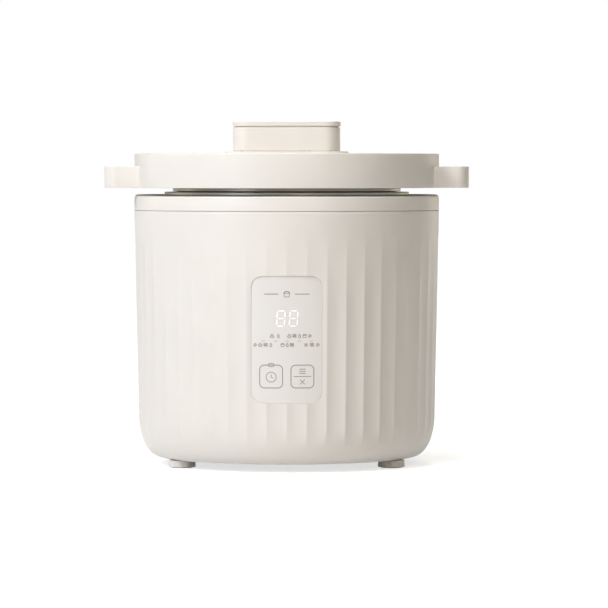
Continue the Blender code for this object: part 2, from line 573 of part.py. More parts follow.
def make_knob(frame):
    plinth_low = LID_TOP_Z + GAP
    plinth = block("knob_plinth", PLINTH, (0.0, 0.0, plinth_low + PLINTH[2] / 2), "ivory_plastic", frame,
                   KNOB_CORNER + 5.0)
    plinth_top = plinth_low + PLINTH[2]
    post_y = 9.1
    posts = [((5.0, 3.0, 9.0), (0.0, y, plinth_top + 4.0)) for y in (-post_y, post_y)]
    combine(plinth, tools("plinth_posts", posts), "UNION")
    holes = [(4.6, 8.0, (NOZZLE_X, 0.0, plinth_low))]
    holes += [(1.9, 8.0, (x, 0.0, plinth_low), "Z", 12) for x in (-KNOB_SCREW_X, KNOB_SCREW_X)]
    holes += [(1.8, 30.0, (0.0, 0.0, LEVER_Z), "Y", 12)]
    combine(plinth, tools("plinth_holes", (), holes), "DIFFERENCE")
    knob_mid_z = KNOB_TOP_Z - KNOB[2] / 2
    knob = block("knob_body", KNOB, (0.0, 0.0, knob_mid_z), "ivory_plastic", frame, KNOB_CORNER, "Z", 5)
    roof_z = KNOB_TOP_Z - KNOB_WALL
    room_low = KNOB_TOP_Z - KNOB[2] - 4.0
    room = ((KNOB[0] - 2 * KNOB_WALL, KNOB[1] - 2 * KNOB_WALL, roof_z - room_low),
            (0.0, 0.0, (roof_z + room_low) / 2), KNOB_CORNER - KNOB_WALL, "Z")
    combine(knob, tools("knob_room", [room]), "DIFFERENCE")
    bosses = [(3.5, 14.0, (x, 0.0, roof_z + 0.8 - 7.0)) for x in (-KNOB_SCREW_X, KNOB_SCREW_X)]
    combine(knob, tools("knob_bosses", (), bosses), "UNION")
    rods = [(1.8, 12.0, (x, 0.0, 220.0), "Z", 12) for x in (-KNOB_SCREW_X, KNOB_SCREW_X)]
    rods += [(3.8, 8.0, (x, 0.0, KNOB_TOP_Z)) for x in (-CAP_SPRING_X, CAP_SPRING_X)]
    push_hole = ((4.6, 9.6, 8.0), (PUSH_X, 0.0, KNOB_TOP_Z))
    slots = [((3.0, 12.0, 8.0), (x, KNOB[1] / 2, 223.0)) for x in (-16.0, -8.0, 0.0, 8.0, 16.0)]
    combine(knob, tools("knob_openings", [push_hole] + slots, rods), "DIFFERENCE")
    for side, x in (("left", -KNOB_SCREW_X), ("right", KNOB_SCREW_X)):
        screw_piece("knob_screw_" + side, x, 0.0, 208.4, 210.6, 224.0, 3.2, frame)
        wire("cap_spring_" + side, coil((math.copysign(CAP_SPRING_X, x), 0.0), 2.9, 215.9, 231.6, 4), 0.4,
             "steel", frame)
    pin = [(0.0, 11.0), (1.2, 11.0), (1.5, 10.7), (1.5, -10.7), (1.2, -11.0), (0.0, -11.0)]
    lever_pin = turned("lever_pin", pin, "steel", frame, steps=SMALL_STEPS, at=(0.0, 0.0, LEVER_Z))
    lever_pin.rotation_euler = (math.radians(90.0), 0.0, 0.0)


def make_vent_cap(frame):
    cap = block("vent_cap", CAP, (0.0, 0.0, CAP_TOP_Z - CAP[2] / 2), "ivory_plastic", frame, KNOB_CORNER, "Z", 5)
    low = CAP_TOP_Z - CAP[2]
    push_low = LEVER_Z + 0.9 + GAP
    push = ((3.0, 8.0, low + 1.0 - push_low), (PUSH_X, 0.0, (low + 1.0 + push_low) / 2))
    guides = [(1.8, 15.0, (x, 0.0, low + 1.0 - 7.5), "Z", 12) for x in (-CAP_SPRING_X, CAP_SPRING_X)]
    combine(cap, tools("cap_guides", [push], guides), "UNION")


def make_valve(lever_frame, weight_frame, float_frame):
    arm = ((29.0, 14.0, 1.5), (3.5, 0.0, 0.15))
    bm = bmesh.new()
    add_block(bm, *arm)
    lever = place("vent_lever", mesh_from(bm, "vent_lever"), "zinc", lever_frame, (0.0, 0.0, LEVER_Z))
    hub = tools("lever_hub", (), [(3.2, 14.0, (0.0, 0.0, LEVER_Z), "Y")])
    combine(lever, hub, "UNION")
    fork = ((20.0, 7.8, 6.0), (NOZZLE_X + 6.0, 0.0, LEVER_Z))
    combine(lever, tools("lever_cuts", [fork], [(1.8, 20.0, (0.0, 0.0, LEVER_Z), "Y", 12)]), "DIFFERENCE")
    weight = [(0.0, 227.5), (5.2, 227.5), (6.0, 226.7), (6.0, 222.3), (3.2, 222.3), (3.2, 217.3), (1.0, 217.3),
              (1.0, 215.6), (0.0, 215.6)]
    turned("pressure_weight", weight, "steel", weight_frame, steps=SMALL_STEPS, at=(NOZZLE_X, 0.0, 0.0))
    stem = [(0.0, 213.2), (3.0, 213.2), (3.4, 212.8), (3.4, 204.0), (2.0, 204.0), (2.0, 199.5), (3.6, 199.5),
            (3.6, 198.0), (2.0, 198.0), (2.0, 190.2), (6.0, 190.2), (6.0, 188.8), (0.0, 188.8)]
    turned("float_valve", stem, "steel", float_frame, steps=SMALL_STEPS, at=(0.0, FLOAT_Y, 0.0))
    seal = [(2.5, 191.6), (5.2, 191.6), (5.2, 190.5), (2.5, 190.5)]
    turned("float_seal", seal, "silicone", float_frame, steps=SMALL_STEPS, at=(0.0, FLOAT_Y, 0.0))


def make_cooker():
    base = axis_frame("base_frame")
    make_outer_shell(base)
    make_top_collar(base)
    make_locking_ring(base)
    make_outer_pot(base)
    make_heating(base)
    make_sensor(base, axis_frame("sensor_axis"))
    make_bottom(base)
    make_feet(base)
    make_inlet(base)
    make_electronics(base)
    make_panel(base)
    make_inner_pot(axis_frame("pot_axis"))
    make_sealing_ring(axis_frame("seal_axis"))
    lid = axis_frame("lid_axis")
    make_lid_cover(lid)
    make_lid_liner(lid)
    make_steel_lid(lid)
    make_steam_path(lid)
    make_knob(lid)
    make_vent_cap(lid)
    make_valve(lid, lid, lid)


clear_scene()
PARTS = new_collection("pressure_cooker")
CUTTERS = new_collection("cutters")
TURN_Z_TO_Y = Matrix.Rotation(math.radians(90.0), 3, "X")
make_cooker()
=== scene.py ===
"""Looks of a two-litre electric pressure cooker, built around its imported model.

Lengths in this file are in millimetres, in the model's own frame (+Z up, front towards -Y),
and become metres when a mesh is made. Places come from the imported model's own boxes.
"""
import math

import bpy
import numpy as np
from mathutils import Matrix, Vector


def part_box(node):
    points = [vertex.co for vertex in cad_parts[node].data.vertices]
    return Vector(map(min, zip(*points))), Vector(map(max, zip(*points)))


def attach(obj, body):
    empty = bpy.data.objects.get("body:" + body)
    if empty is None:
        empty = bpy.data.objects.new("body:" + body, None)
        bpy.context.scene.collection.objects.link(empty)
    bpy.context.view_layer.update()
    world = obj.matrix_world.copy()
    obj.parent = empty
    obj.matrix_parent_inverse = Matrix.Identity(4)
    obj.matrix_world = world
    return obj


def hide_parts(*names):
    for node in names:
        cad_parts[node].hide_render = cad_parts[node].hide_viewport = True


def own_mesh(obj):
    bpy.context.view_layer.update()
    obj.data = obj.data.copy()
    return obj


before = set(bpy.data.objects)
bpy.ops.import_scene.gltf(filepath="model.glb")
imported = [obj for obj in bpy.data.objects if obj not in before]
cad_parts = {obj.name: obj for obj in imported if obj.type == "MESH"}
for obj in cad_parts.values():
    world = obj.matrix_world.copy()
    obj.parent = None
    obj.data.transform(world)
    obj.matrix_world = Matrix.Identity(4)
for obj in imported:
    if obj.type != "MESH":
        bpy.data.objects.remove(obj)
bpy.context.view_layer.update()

MM = 0.001
TAU = 2 * math.pi


def box_mm(node):
    """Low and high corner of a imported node, in millimetres."""
    low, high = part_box(node)
    return np.array(low) / MM, np.array(high) / MM


def middle_of(node):
    return sum(box_mm(node)) / 2


def half_of(node):
    low, high = box_mm(node)
    return (high - low) / 2


def heights_of(node):
    low, high = box_mm(node)
    return low[2], high[2]


def top_of(node):
    return box_mm(node)[1][2]


def bottom_of(node):
    return box_mm(node)[0][2]


def radius_of(node):
    return box_mm(node)[1][0]


# ---- sizes read from the model, and the fine shapes that the model leaves plain ----
BODY_R = radius_of("top_collar")
DECK_Z = top_of("deck_plate")
SEAM_Z = top_of("outer_shell")
COLLAR_LOW = 174.8
UNDERSIDE_Z = bottom_of("outer_shell")
CORNER_Z = 33
CORNER_R = 102.2
CORNER_W = 14.6
SHELL_WALL = 2.2
LIP_R = 87.8
LEDGE_R = 76
LEDGE_LOW = 8.2
LEDGE_TOP = 10.4
DECK_CORNER = 2.5
DECK_HOLE_R = 84.8
DECK_T = 0.6
DECK_WRAP = 42
LID_LOW = bottom_of("lid_cover")
LID_TOP = top_of("lid_cover")
LID_R = BODY_R - 0.1
HANDLE_REACH = radius_of("lid_cover")
HANDLE_HALF_DEPTH = 31
HANDLE_TOP = 204.7
HANDLE_CORNER = 9
KNOB_CORNER = 11
CAP_PUSH_LOW = 221.7
SEAT_INSET = 0.9
PUSH_PLACE = (-8, 0)                 # the stem under the cap that presses the lever
SCREW_BORE = 1.9
NOZZLE_BORE = 4.6
PANEL_CORNER = 8
PANEL_SINK = 0.95
PANEL_T = 2.05
TUBE_SIDES = 10
SPRING_STEPS = 28                    # points in each turn of a spring
SPRING_CLOSING = 0.675 / TAU         # how much closer its end turns lie
FLUTES = 48
FLUTE_DEPTH = 0.9
FLUTE_TOP = 161                      # the flutes fade in below this height
FLUTE_FULL_TOP = 85                  # and have their full depth from here
FLUTE_FULL_LOW = 33.5                # down to here
FLUTE_LOW = 17.8                     # and have faded out here


# ---- mesh helpers: a shape is (points, faces), and shapes are joined before they become a piece ----
def numbered(rows, cols, start=0):
    return start + np.arange(rows * cols).reshape(rows, cols)


def quads(ids, wrap_rows=False, wrap_cols=False):
    """Quads of a grid of point numbers, facing outwards where rows run down and columns run ccw."""
    if wrap_rows:
        ids = np.concatenate([ids, ids[:1]])
    if wrap_cols:
        ids = np.concatenate([ids, ids[:, :1]], 1)
    return np.stack([ids[:-1, :-1], ids[1:, :-1], ids[1:, 1:], ids[:-1, 1:]], -1).reshape(-1, 4)


def facing_out(points, faces):
    """The same closed shape with its faces turned round if its volume comes out negative."""
    volume = 0
    for group in faces:
        first, second = points[group[:, 0]], points[group[:, 1]]
        for i in range(2, group.shape[1]):
            third = points[group[:, i]]
            volume += (first * np.cross(second, third)).sum()
            second = third
    return points, (faces if volume > 0 else [group[:, ::-1] for group in faces])


def closed_grid(points, wrap_rows=False):
    """Grid of points with closed columns. Its open first and last rows get fan caps to their middles."""
    rows, cols = points.shape[:2]
    ids = numbered(rows, cols)
    faces = [quads(ids, wrap_rows, True)]
    flat = points.reshape(-1, 3)
    if not wrap_rows:
        flat = np.concatenate([flat, points[0].mean(0)[None], points[-1].mean(0)[None]])
        for ring, tip in ((ids[0], rows * cols), (ids[-1, ::-1], rows * cols + 1)):
            faces.append(np.stack([ring, np.roll(ring, -1), np.full(cols, tip)], -1))
    return facing_out(flat, faces)


def rim_of(ids):
    """Point numbers round a grid's border: down its last column, back along its last row, up, across."""
    return np.concatenate([ids[:, -1], ids[-1, -2::-1], ids[-2::-1, 0], ids[0, 1:-1]])


def join(*shapes):
    """Several shapes as one list of points and faces."""
    points = []
    faces = []
    start = 0
    for some_points, some_faces in shapes:
        points.append(some_points)
        faces += [f + start for f in some_faces]
        start += len(some_points)
    return np.concatenate(points), faces


def placed(name, data):
    """Object at the origin of the scene."""
    obj = bpy.data.objects.new(name, data)
    bpy.context.scene.collection.objects.link(obj)
    return obj


def mesh_object(name, points, faces):
    mesh = bpy.data.meshes.new(name)
    mesh.from_pydata(points.tolist(), [], [list(face) for group in faces for face in group])
    return placed(name, mesh)


def carve(shape, adds, cuts=()):
    """A closed shape with others joined to it, and then others cut from it."""
    body = mesh_object("work", *shape)
    tools = []
    for operation, shapes in (("UNION", adds), ("DIFFERENCE", cuts)):
        for tool in [mesh_object("work", *other) for other in shapes]:
            step = body.modifiers.new(operation, "BOOLEAN")
            step.operation = operation
            step.solver = "MANIFOLD"
            step.object = tool
            tools.append(tool)
    graph = bpy.context.evaluated_depsgraph_get()
    mesh = bpy.data.meshes.new_from_object(body.evaluated_get(graph))
    points = np.array([vertex.co for vertex in mesh.vertices])
    faces = [tuple(polygon.vertices) for polygon in mesh.polygons]
    for obj in (body, *tools):
        bpy.data.objects.remove(obj)
    return points, [faces]


def piece(name, shape, finish, body, replaces=(), sharp=32):
    """Put a shape into a mesh object, hang it on its body's empty, hide the model parts it stands for, and
    give it its finish.
    """
    points, faces = shape
    obj = mesh_object(name, points * MM, faces)
    obj.data.shade_smooth()
    obj.data.set_sharp_from_angle(angle=math.radians(sharp))
    obj.data.materials.append(finish)
    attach(obj, body)
    if replaces:
        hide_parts(*replaces)
    return obj


def arc(x, z, radius_x, radius_z, start_deg, end_deg, steps=16):
    """Part of a circle or an ellipse, as points of a flat outline."""
    t = np.radians(np.linspace(start_deg, end_deg, steps + 1))
    return np.stack([x + radius_x * np.cos(t), z + radius_z * np.sin(t)], -1)


def fillet(corners, radii, steps=6):
    """Outline through corners, each rounded by an arc of its radius that touches both its sides."""
    corners = np.asarray(corners, float)
    out = []
    for i, radius in enumerate(radii):
        here = corners[i]
        if radius <= 0:
            out.append(here[None])
            continue
        a = corners[i - 1] - here
        b = corners[(i + 1) % len(corners)] - here
        a, b = a / np.linalg.norm(a), b / np.linalg.norm(b)
        half = math.acos(np.clip(a @ b, -1, 1)) / 2
        reach = radius / math.tan(half)
        middle = here + (a + b) / np.linalg.norm(a + b) * radius / math.sin(half)
        start, end = here + a * reach - middle, here + b * reach - middle
        turn = np.arctan2(start[0] * end[1] - start[1] * end[0], start @ end)
        t = np.linspace(0, 1, steps + 1)[:, None] * turn
        out.append(middle + np.cos(t) * start + np.sin(t) * np.array([-start[1], start[0]]))
    return np.concatenate(out)


def round_axis(r, z, angle, centre=(0, 0)):
    """Points at a radius, a height and an angle about an upright axis."""
    return np.stack([centre[0] + r * np.cos(angle), centre[1] + r * np.sin(angle), z + 0 * angle], -1)


def lathe(profile, sides=192, centre=(0, 0)):
    """Turn a closed outline of (radius, z), or one that starts and ends on the axis, about Z."""
    profile = np.asarray(profile, float)
    solid = profile[0, 0] == 0 and profile[-1, 0] == 0
    ring = profile[1:-1] if solid else profile
    angle = TAU * np.arange(sides) / sides
    points = round_axis(ring[:, :1], ring[:, 1:], angle, centre)
    flat, faces = closed_grid(points, wrap_rows=not solid)
    if solid:
        flat[-2:, 2] = profile[0, 1], profile[-1, 1]
    return flat, faces


def rod(radius, low, high, centre=(0, 0), edge=0, sides=48):
    """Upright cylinder with rounded edges."""
    corners = [(0, high), (radius, high), (radius, low), (0, low)]
    return lathe(fillet(corners, (0, edge, edge, 0)), sides, centre)


def sector(inner, outer, low, high, middle_deg, width_deg, edge=0, steps=16):
    """Part of a ring: a rectangle with rounded corners carried round the axis by an angle."""
    corners = [(inner, low), (outer, low), (outer, high), (inner, high)]
    outline = fillet(corners, (edge,) * 4, 3)
    angle = np.radians(middle_deg + width_deg * np.linspace(-0.5, 0.5, steps + 1))[:, None]
    return closed_grid(round_axis(*outline.T, angle))


def plan(half_x, half_y, corner, per_corner=14):
    """Rounded rectangle, counter-clockwise, as arc centres and outward directions."""
    quarter = np.linspace(0, TAU / 4, per_corner + 1)
    turn = np.concatenate([quarter + i * TAU / 4 for i in range(4)])
    side = np.repeat([[1, 1], [-1, 1], [-1, -1], [1, -1]], per_corner + 1, axis=0)
    middle = side * np.array([half_x - corner, half_y - corner])
    return middle, np.stack([np.cos(turn), np.sin(turn)], -1)


def slab(half_x, half_y, corner, profile, centre=(0, 0)):
    """Rounded rectangle carried along a profile of (inset, z) that runs from the top down."""
    middle, outward = plan(half_x, half_y, corner)
    inset, z = np.asarray(profile, float).T
    xy = middle + (corner - inset[:, None, None]) * outward + np.asarray(centre)
    points = np.concatenate([xy, np.broadcast_to(z[:, None, None], xy.shape[:2] + (1,))], -1)
    return closed_grid(points)


def edge_profile(low, high, top_round, low_round, steps=5):
    """Profile of (inset, z) for a block with rounded top and bottom edges."""
    t = np.linspace(0, TAU / 4, steps + 1)
    top = np.stack([top_round * (1 - np.sin(t)), high - top_round * (1 - np.cos(t))], -1)
    base = np.stack([low_round * (1 - np.cos(t)), low + low_round * (1 - np.sin(t))], -1)
    return np.concatenate([top, base])


def tube(path, radius, reference):
    """Circle carried along a path. Its frame is the reference direction made square to the path."""
    tangent = np.gradient(path, axis=0)
    tangent /= np.linalg.norm(tangent, axis=1, keepdims=True)
    up = np.broadcast_to(np.asarray(reference, float), path.shape)
    up = up - (up * tangent).sum(1, keepdims=True) * tangent
    up /= np.linalg.norm(up, axis=1, keepdims=True)
    across = np.cross(tangent, up)
    angle = TAU * np.arange(TUBE_SIDES) / TUBE_SIDES
    ring = np.cos(angle)[:, None] * up[:, None] + np.sin(angle)[:, None] * across[:, None]
    points = path[:, None] + radius * ring
    return closed_grid(points[::-1])


def spring(centre, radius, low, high, turns, wire):
    """Compression spring: a helix about Z whose first and last turns lie close together."""
    t = np.linspace(0, 1, int(turns * SPRING_STEPS) + 1)
    rise = t - SPRING_CLOSING * np.sin(TAU * t)
    path = round_axis(radius, low + (high - low) * rise, TAU * turns * t, centre)
    return tube(path, wire, (0, 0, 1))


# ---- materials ----
def new_node(tree, kind, values=(), operation=None):
    """Shader node with some of its inputs set, and its operation where it has one."""
    node = tree.nodes.new("ShaderNode" + kind)
    if operation:
        node.operation = operation
    for socket, value in dict(values).items():
        node.inputs[socket].default_value = value
    return node


def connect(tree, *steps):
    """Links, each given as a node, its output, the next node and its input."""
    for source, output, target, socket in steps:
        tree.links.new(source.outputs[output], target.inputs[socket])


def node_material(name, values=()):
    material = bpy.data.materials.new(name)
    material.use_nodes = True
    tree = material.node_tree
    tree.nodes.clear()
    shader = new_node(tree, "BsdfPrincipled", values)
    connect(tree, (shader, "BSDF", new_node(tree, "OutputMaterial"), "Surface"))
    return material, shader


def shader_of(material):
    return next(n for n in material.node_tree.nodes if n.type == "BSDF_PRINCIPLED")


def linear(rgb):
    """sRGB 0-255 colour as linear values."""
    c = np.asarray(rgb, float) / 255
    return tuple(np.where(c <= 0.04045, c / 12.92, ((c + 0.055) / 1.055) ** 2.4)) + (1,)


def add_noise(material, scale, detail, stretch=(1, 1, 1)):
    """Noise on Object coordinates, stretched along chosen axes."""
    tree = material.node_tree
    where = new_node(tree, "TexCoord")
    mapping = new_node(tree, "Mapping", {"Scale": stretch})
    noise = new_node(tree, "TexNoise", {"Scale": scale, "Detail": detail})
    connect(tree, (where, "Object", mapping, "Vector"), (mapping, "Vector", noise, "Vector"))
    return noise


def vary(material, noise, socket, low, high, window=(0.35, 0.65)):
    """Drive a socket between two values or two colours by a noise."""
    tree = material.node_tree
    if isinstance(low, tuple):
        ramp = new_node(tree, "ValToRGB")
        for element, place, colour in zip(ramp.color_ramp.elements, window, (low, high)):
            element.position, element.color = place, colour
        connect(tree, (noise, "Fac", ramp, "Fac"), (ramp, "Color", shader_of(material), socket))
        return
    spread = new_node(tree, "MapRange", {"From Min": window[0], "From Max": window[1],
                                         "To Min": low, "To Max": high})
    connect(tree, (noise, "Fac", spread, "Value"), (spread, "Result", shader_of(material), socket))


def emboss(material, noise, strength, distance):
    """Small surface relief from a noise. The distance is in millimetres."""
    tree = material.node_tree
    bump = new_node(tree, "Bump", {"Strength": strength, "Distance": distance * MM})
    connect(tree, (noise, "Fac", bump, "Height"), (bump, "Normal", shader_of(material), "Normal"))


def shaded(colour, share):
    """A colour with its light cut to a share."""
    return tuple(c * share for c in colour[:3]) + (1,)


def finish_of(name, values, rgb, shade, cloud, marks, roughness, relief):
    """A finish whose colour drifts with one noise, and whose gloss and relief follow another."""
    material, _ = node_material(name, values)
    colour = linear(rgb)
    vary(material, add_noise(material, *cloud), "Base Color", shaded(colour, shade), colour)
    noise = add_noise(material, *marks)
    vary(material, noise, "Roughness", *roughness)
    emboss(material, noise, *relief)
    return material


def moulded_plastic(name, rgb, roughness, grain=0.012, coat=0, shade=0.975):
    """Moulded plastic: slight cloudiness of colour and gloss, and a fine spark-eroded grain."""
    values = {"Specular IOR Level": 0.45, "Coat Weight": coat, "Coat Roughness": 0.12}
    return finish_of(name, values, rgb, shade, (28, 4), (900, 2),
                     (roughness * 0.9, roughness * 1.12), (0.5, grain))


def worked_metal(name, rgb, roughness, squeeze=1, scale=2000, grain=0.003):
    """Metal with drawing or turning marks: a noise squeezed, or stretched when under 1, along Z."""
    return finish_of(name, {"Metallic": 1}, rgb, 0.94, (40, 3), (scale, 4, (1, 1, squeeze)),
                     (roughness * 0.8, roughness * 1.2), (0.2, grain))


def soft_rubber(name, rgb, roughness, translucent=0):
    """Rubber or silicone: matt, with a fine uneven skin."""
    values = {"Subsurface Weight": translucent, "Subsurface Scale": 1,
              "Subsurface Radius": (0.004, 0.0035, 0.003)}
    skin = (500, 3)
    return finish_of(name, values, rgb, 0.9, skin, skin, (roughness * 0.88, roughness), (0.5, 0.03))


def speckled_coating(name):
    """Dark non-stick coating with fine pale speckles."""
    material, _ = node_material(name, {"Specular IOR Level": 0.5})
    fleck = add_noise(material, 1400, 1)
    vary(material, fleck, "Base Color", linear((44, 44, 46)), linear((118, 118, 120)), (0.62, 0.74))
    cloud = add_noise(material, 60, 4)
    vary(material, cloud, "Roughness", 0.32, 0.46)
    emboss(material, fleck, 0.35, 0.02)
    return material


def circuit_board(name):
    """Printed board: solder mask over a grid of darker tracks."""
    material, shader = node_material(name)
    tree = material.node_tree
    where = new_node(tree, "TexCoord")
    tracks = new_node(tree, "TexBrick", {
        "Scale": 90, "Mortar Size": 0.06, "Color1": linear((22, 92, 58)), "Color2": linear((26, 104, 64)),
        "Mortar": linear((14, 66, 42))})
    connect(tree, (where, "Object", tracks, "Vector"), (tracks, "Color", shader, "Base Color"))
    fine = add_noise(material, 700, 2)
    vary(material, fine, "Roughness", 0.3, 0.42)
    emboss(material, fine, 0.3, 0.01)
    return material


def glowing_digit(name):
    """Lit display segment seen through the panel: white, a little uneven along its length."""
    material, _ = node_material(name, {"Base Color": linear((250, 250, 248)), "Roughness": 0.4,
                                       "Emission Color": linear((255, 255, 252))})
    glow = add_noise(material, 300, 2)
    vary(material, glow, "Emission Strength", 0.2, 0.3)
    return material


IVORY = moulded_plastic("ivory_plastic", (234, 229, 221), 0.36)
PANEL_FILM = moulded_plastic("panel_film", (233, 229, 223), 0.24, grain=0.003, coat=0.4, shade=0.985)
PRINT_GREY = moulded_plastic("print_grey", (158, 151, 138), 0.5)
PRINT_MID = moulded_plastic("print_mid", (162, 155, 144), 0.5)
PRINT_FAINT = moulded_plastic("print_faint", (196, 190, 180), 0.5)
BLACK = moulded_plastic("black_plastic", (26, 26, 28), 0.42, grain=0.03)
COMPONENT_GREY = moulded_plastic("component_grey", (150, 152, 154), 0.38)
DIGIT = glowing_digit("lit_digit")
BRIGHT_STEEL = worked_metal("bright_steel", (214, 212, 208), 0.17, squeeze=14)
SATIN_STEEL = worked_metal("satin_steel", (206, 203, 195), 0.4, squeeze=20)
# painted shade: this steel's dim olive colour stands in for the lid's shade on the deck trim and the
# collar's top corner
DECK_STEEL_PAINTED_SHADE = worked_metal("deck_steel_painted_shade", (162, 157, 144), 0.34, squeeze=20)
PRESSED_STEEL = worked_metal("pressed_steel", (148, 143, 131), 0.28, squeeze=14)
DRAWN_STEEL = worked_metal("drawn_steel", (198, 197, 194), 0.26, squeeze=0.15)
CAST_ALUMINIUM = worked_metal("cast_aluminium", (196, 197, 198), 0.42, scale=900, grain=0.03)
ZINC = worked_metal("zinc_plate", (196, 198, 202), 0.3, scale=300)
COPPER = worked_metal("copper_wire", (214, 150, 110), 0.26)
BRASS = worked_metal("brass_contact", (214, 184, 116), 0.24)
SILICONE = soft_rubber("white_silicone", (222, 220, 214), 0.55, 0.25)
RUBBER = soft_rubber("dark_rubber", (36, 36, 37), 0.85)
COATING = speckled_coating("speckled_coating")
BOARD = circuit_board("green_board")


# ---- shell ----
def side_radius(z):
    """The shell's side tapers evenly from the collar down to its bottom corner."""
    return CORNER_R + (BODY_R - CORNER_R) * (z - CORNER_Z) / (COLLAR_LOW - CORNER_Z)


def wall_radius(z):
    """Radius of the side, or of the quarter ellipse that rounds the bottom corner."""
    drop = np.clip((CORNER_Z - z) / (CORNER_Z - UNDERSIDE_Z), 0, 1)
    return np.where(z < CORNER_Z, CORNER_R - CORNER_W * (1 - np.sqrt(1 - drop ** 2)), side_radius(z))


def flute_share(z):
    """How deep the flutes are at a height, 0 to 1: a quarter sine in at the top and out at the bottom."""
    top = np.clip((FLUTE_TOP - z) / (FLUTE_TOP - FLUTE_FULL_TOP), 0, 1)
    low = np.clip((z - FLUTE_LOW) / (FLUTE_FULL_LOW - FLUTE_LOW), 0, 1)
    return np.sin(top * TAU / 4) * np.sin(low * TAU / 4)


def scallop(angle):
    """Hollow between two ridges: 0 on a ridge and 1 midway, a parabola. A ridge faces the front."""
    across = (angle + TAU / 4) * FLUTES / TAU
    return 1 - (2 * (across - np.floor(across)) - 1) ** 2


def rings(profile, angle):
    """Rings of points from a profile of (radius, z)."""
    profile = np.asarray(profile, float)
    return round_axis(profile[:, :1], profile[:, 1:], angle)


def on_wall(xz, side, depth, fluted=1):
    """Points on the fluted side at (x, z), on the front (side -1) or the back (+1), sunk by a depth."""
    x = xz[..., 0]
    z = xz[..., 1]
    radius = wall_radius(z)
    for _ in range(2):
        angle = side * np.arccos(np.clip(x / radius, -1, 1))
        radius = wall_radius(z) - fluted * FLUTE_DEPTH * flute_share(z) * scallop(angle) - depth
    return np.stack([x, side * np.sqrt(radius ** 2 - x ** 2), z], -1)


def rounded_rect(u, v, half, corner, middle):
    """Nested rounded rectangles: (u, v) from -1 to 1, where the larger of the two gives the size."""
    size = np.maximum(np.maximum(np.abs(u), np.abs(v)), 1e-9)[..., None]
    edge = np.stack([u, v], -1) / size * half
    start = np.sign(edge) * (np.asarray(half) - corner)
    beyond = edge - start
    at_corner = (beyond * np.sign(edge) > 0).all(-1, keepdims=True)
    length = np.linalg.norm(beyond, axis=-1, keepdims=True)
    rounded = start + beyond / np.maximum(length, 1e-9) * corner
    return np.asarray(middle) + size * np.where(at_corner, rounded, edge)


def opening(points, outer_ids, inner_ids, first_id, side, half, corner, middle):
    """Sheet that joins a gap in the outer wall to the same gap in the inner wall.

    It runs from the gap's square rim to the opening's rounded outline, over a small rounded edge,
    straight through the wall, and out again to the inner gap's rim.
    """
    outer_rim = rim_of(outer_ids)
    inner_rim = rim_of(inner_ids)
    rim_xz = points[outer_rim][:, [0, 2]]
    away = (rim_xz - middle) / half
    away /= np.abs(away).max(1, keepdims=True)
    outline = rounded_rect(away[:, 0], away[:, 1], half, corner, middle)
    edge = rounded_rect(away[:, 0], away[:, 1], half + 0.12, corner + 0.12, middle)
    sheets = [on_wall(rim_xz + (edge - rim_xz) * t, side, 0) for t in (0.3, 0.55, 0.75, 0.9, 1)]
    for t, depth in ((0.6, 0.03), (1, 0.12), (1, 0.7)):
        sheets.append(on_wall(edge + (outline - edge) * t, side, depth))
    inside = on_wall(outline, side, SHELL_WALL, 0)
    sheets += [inside, inside + (points[inner_rim] - inside) * 0.5]
    sheet = np.stack(sheets)
    ids = np.concatenate([outer_rim[None], numbered(len(sheet), len(outer_rim), first_id), inner_rim[None]])
    return sheet.reshape(-1, 3), quads(ids, wrap_cols=True)


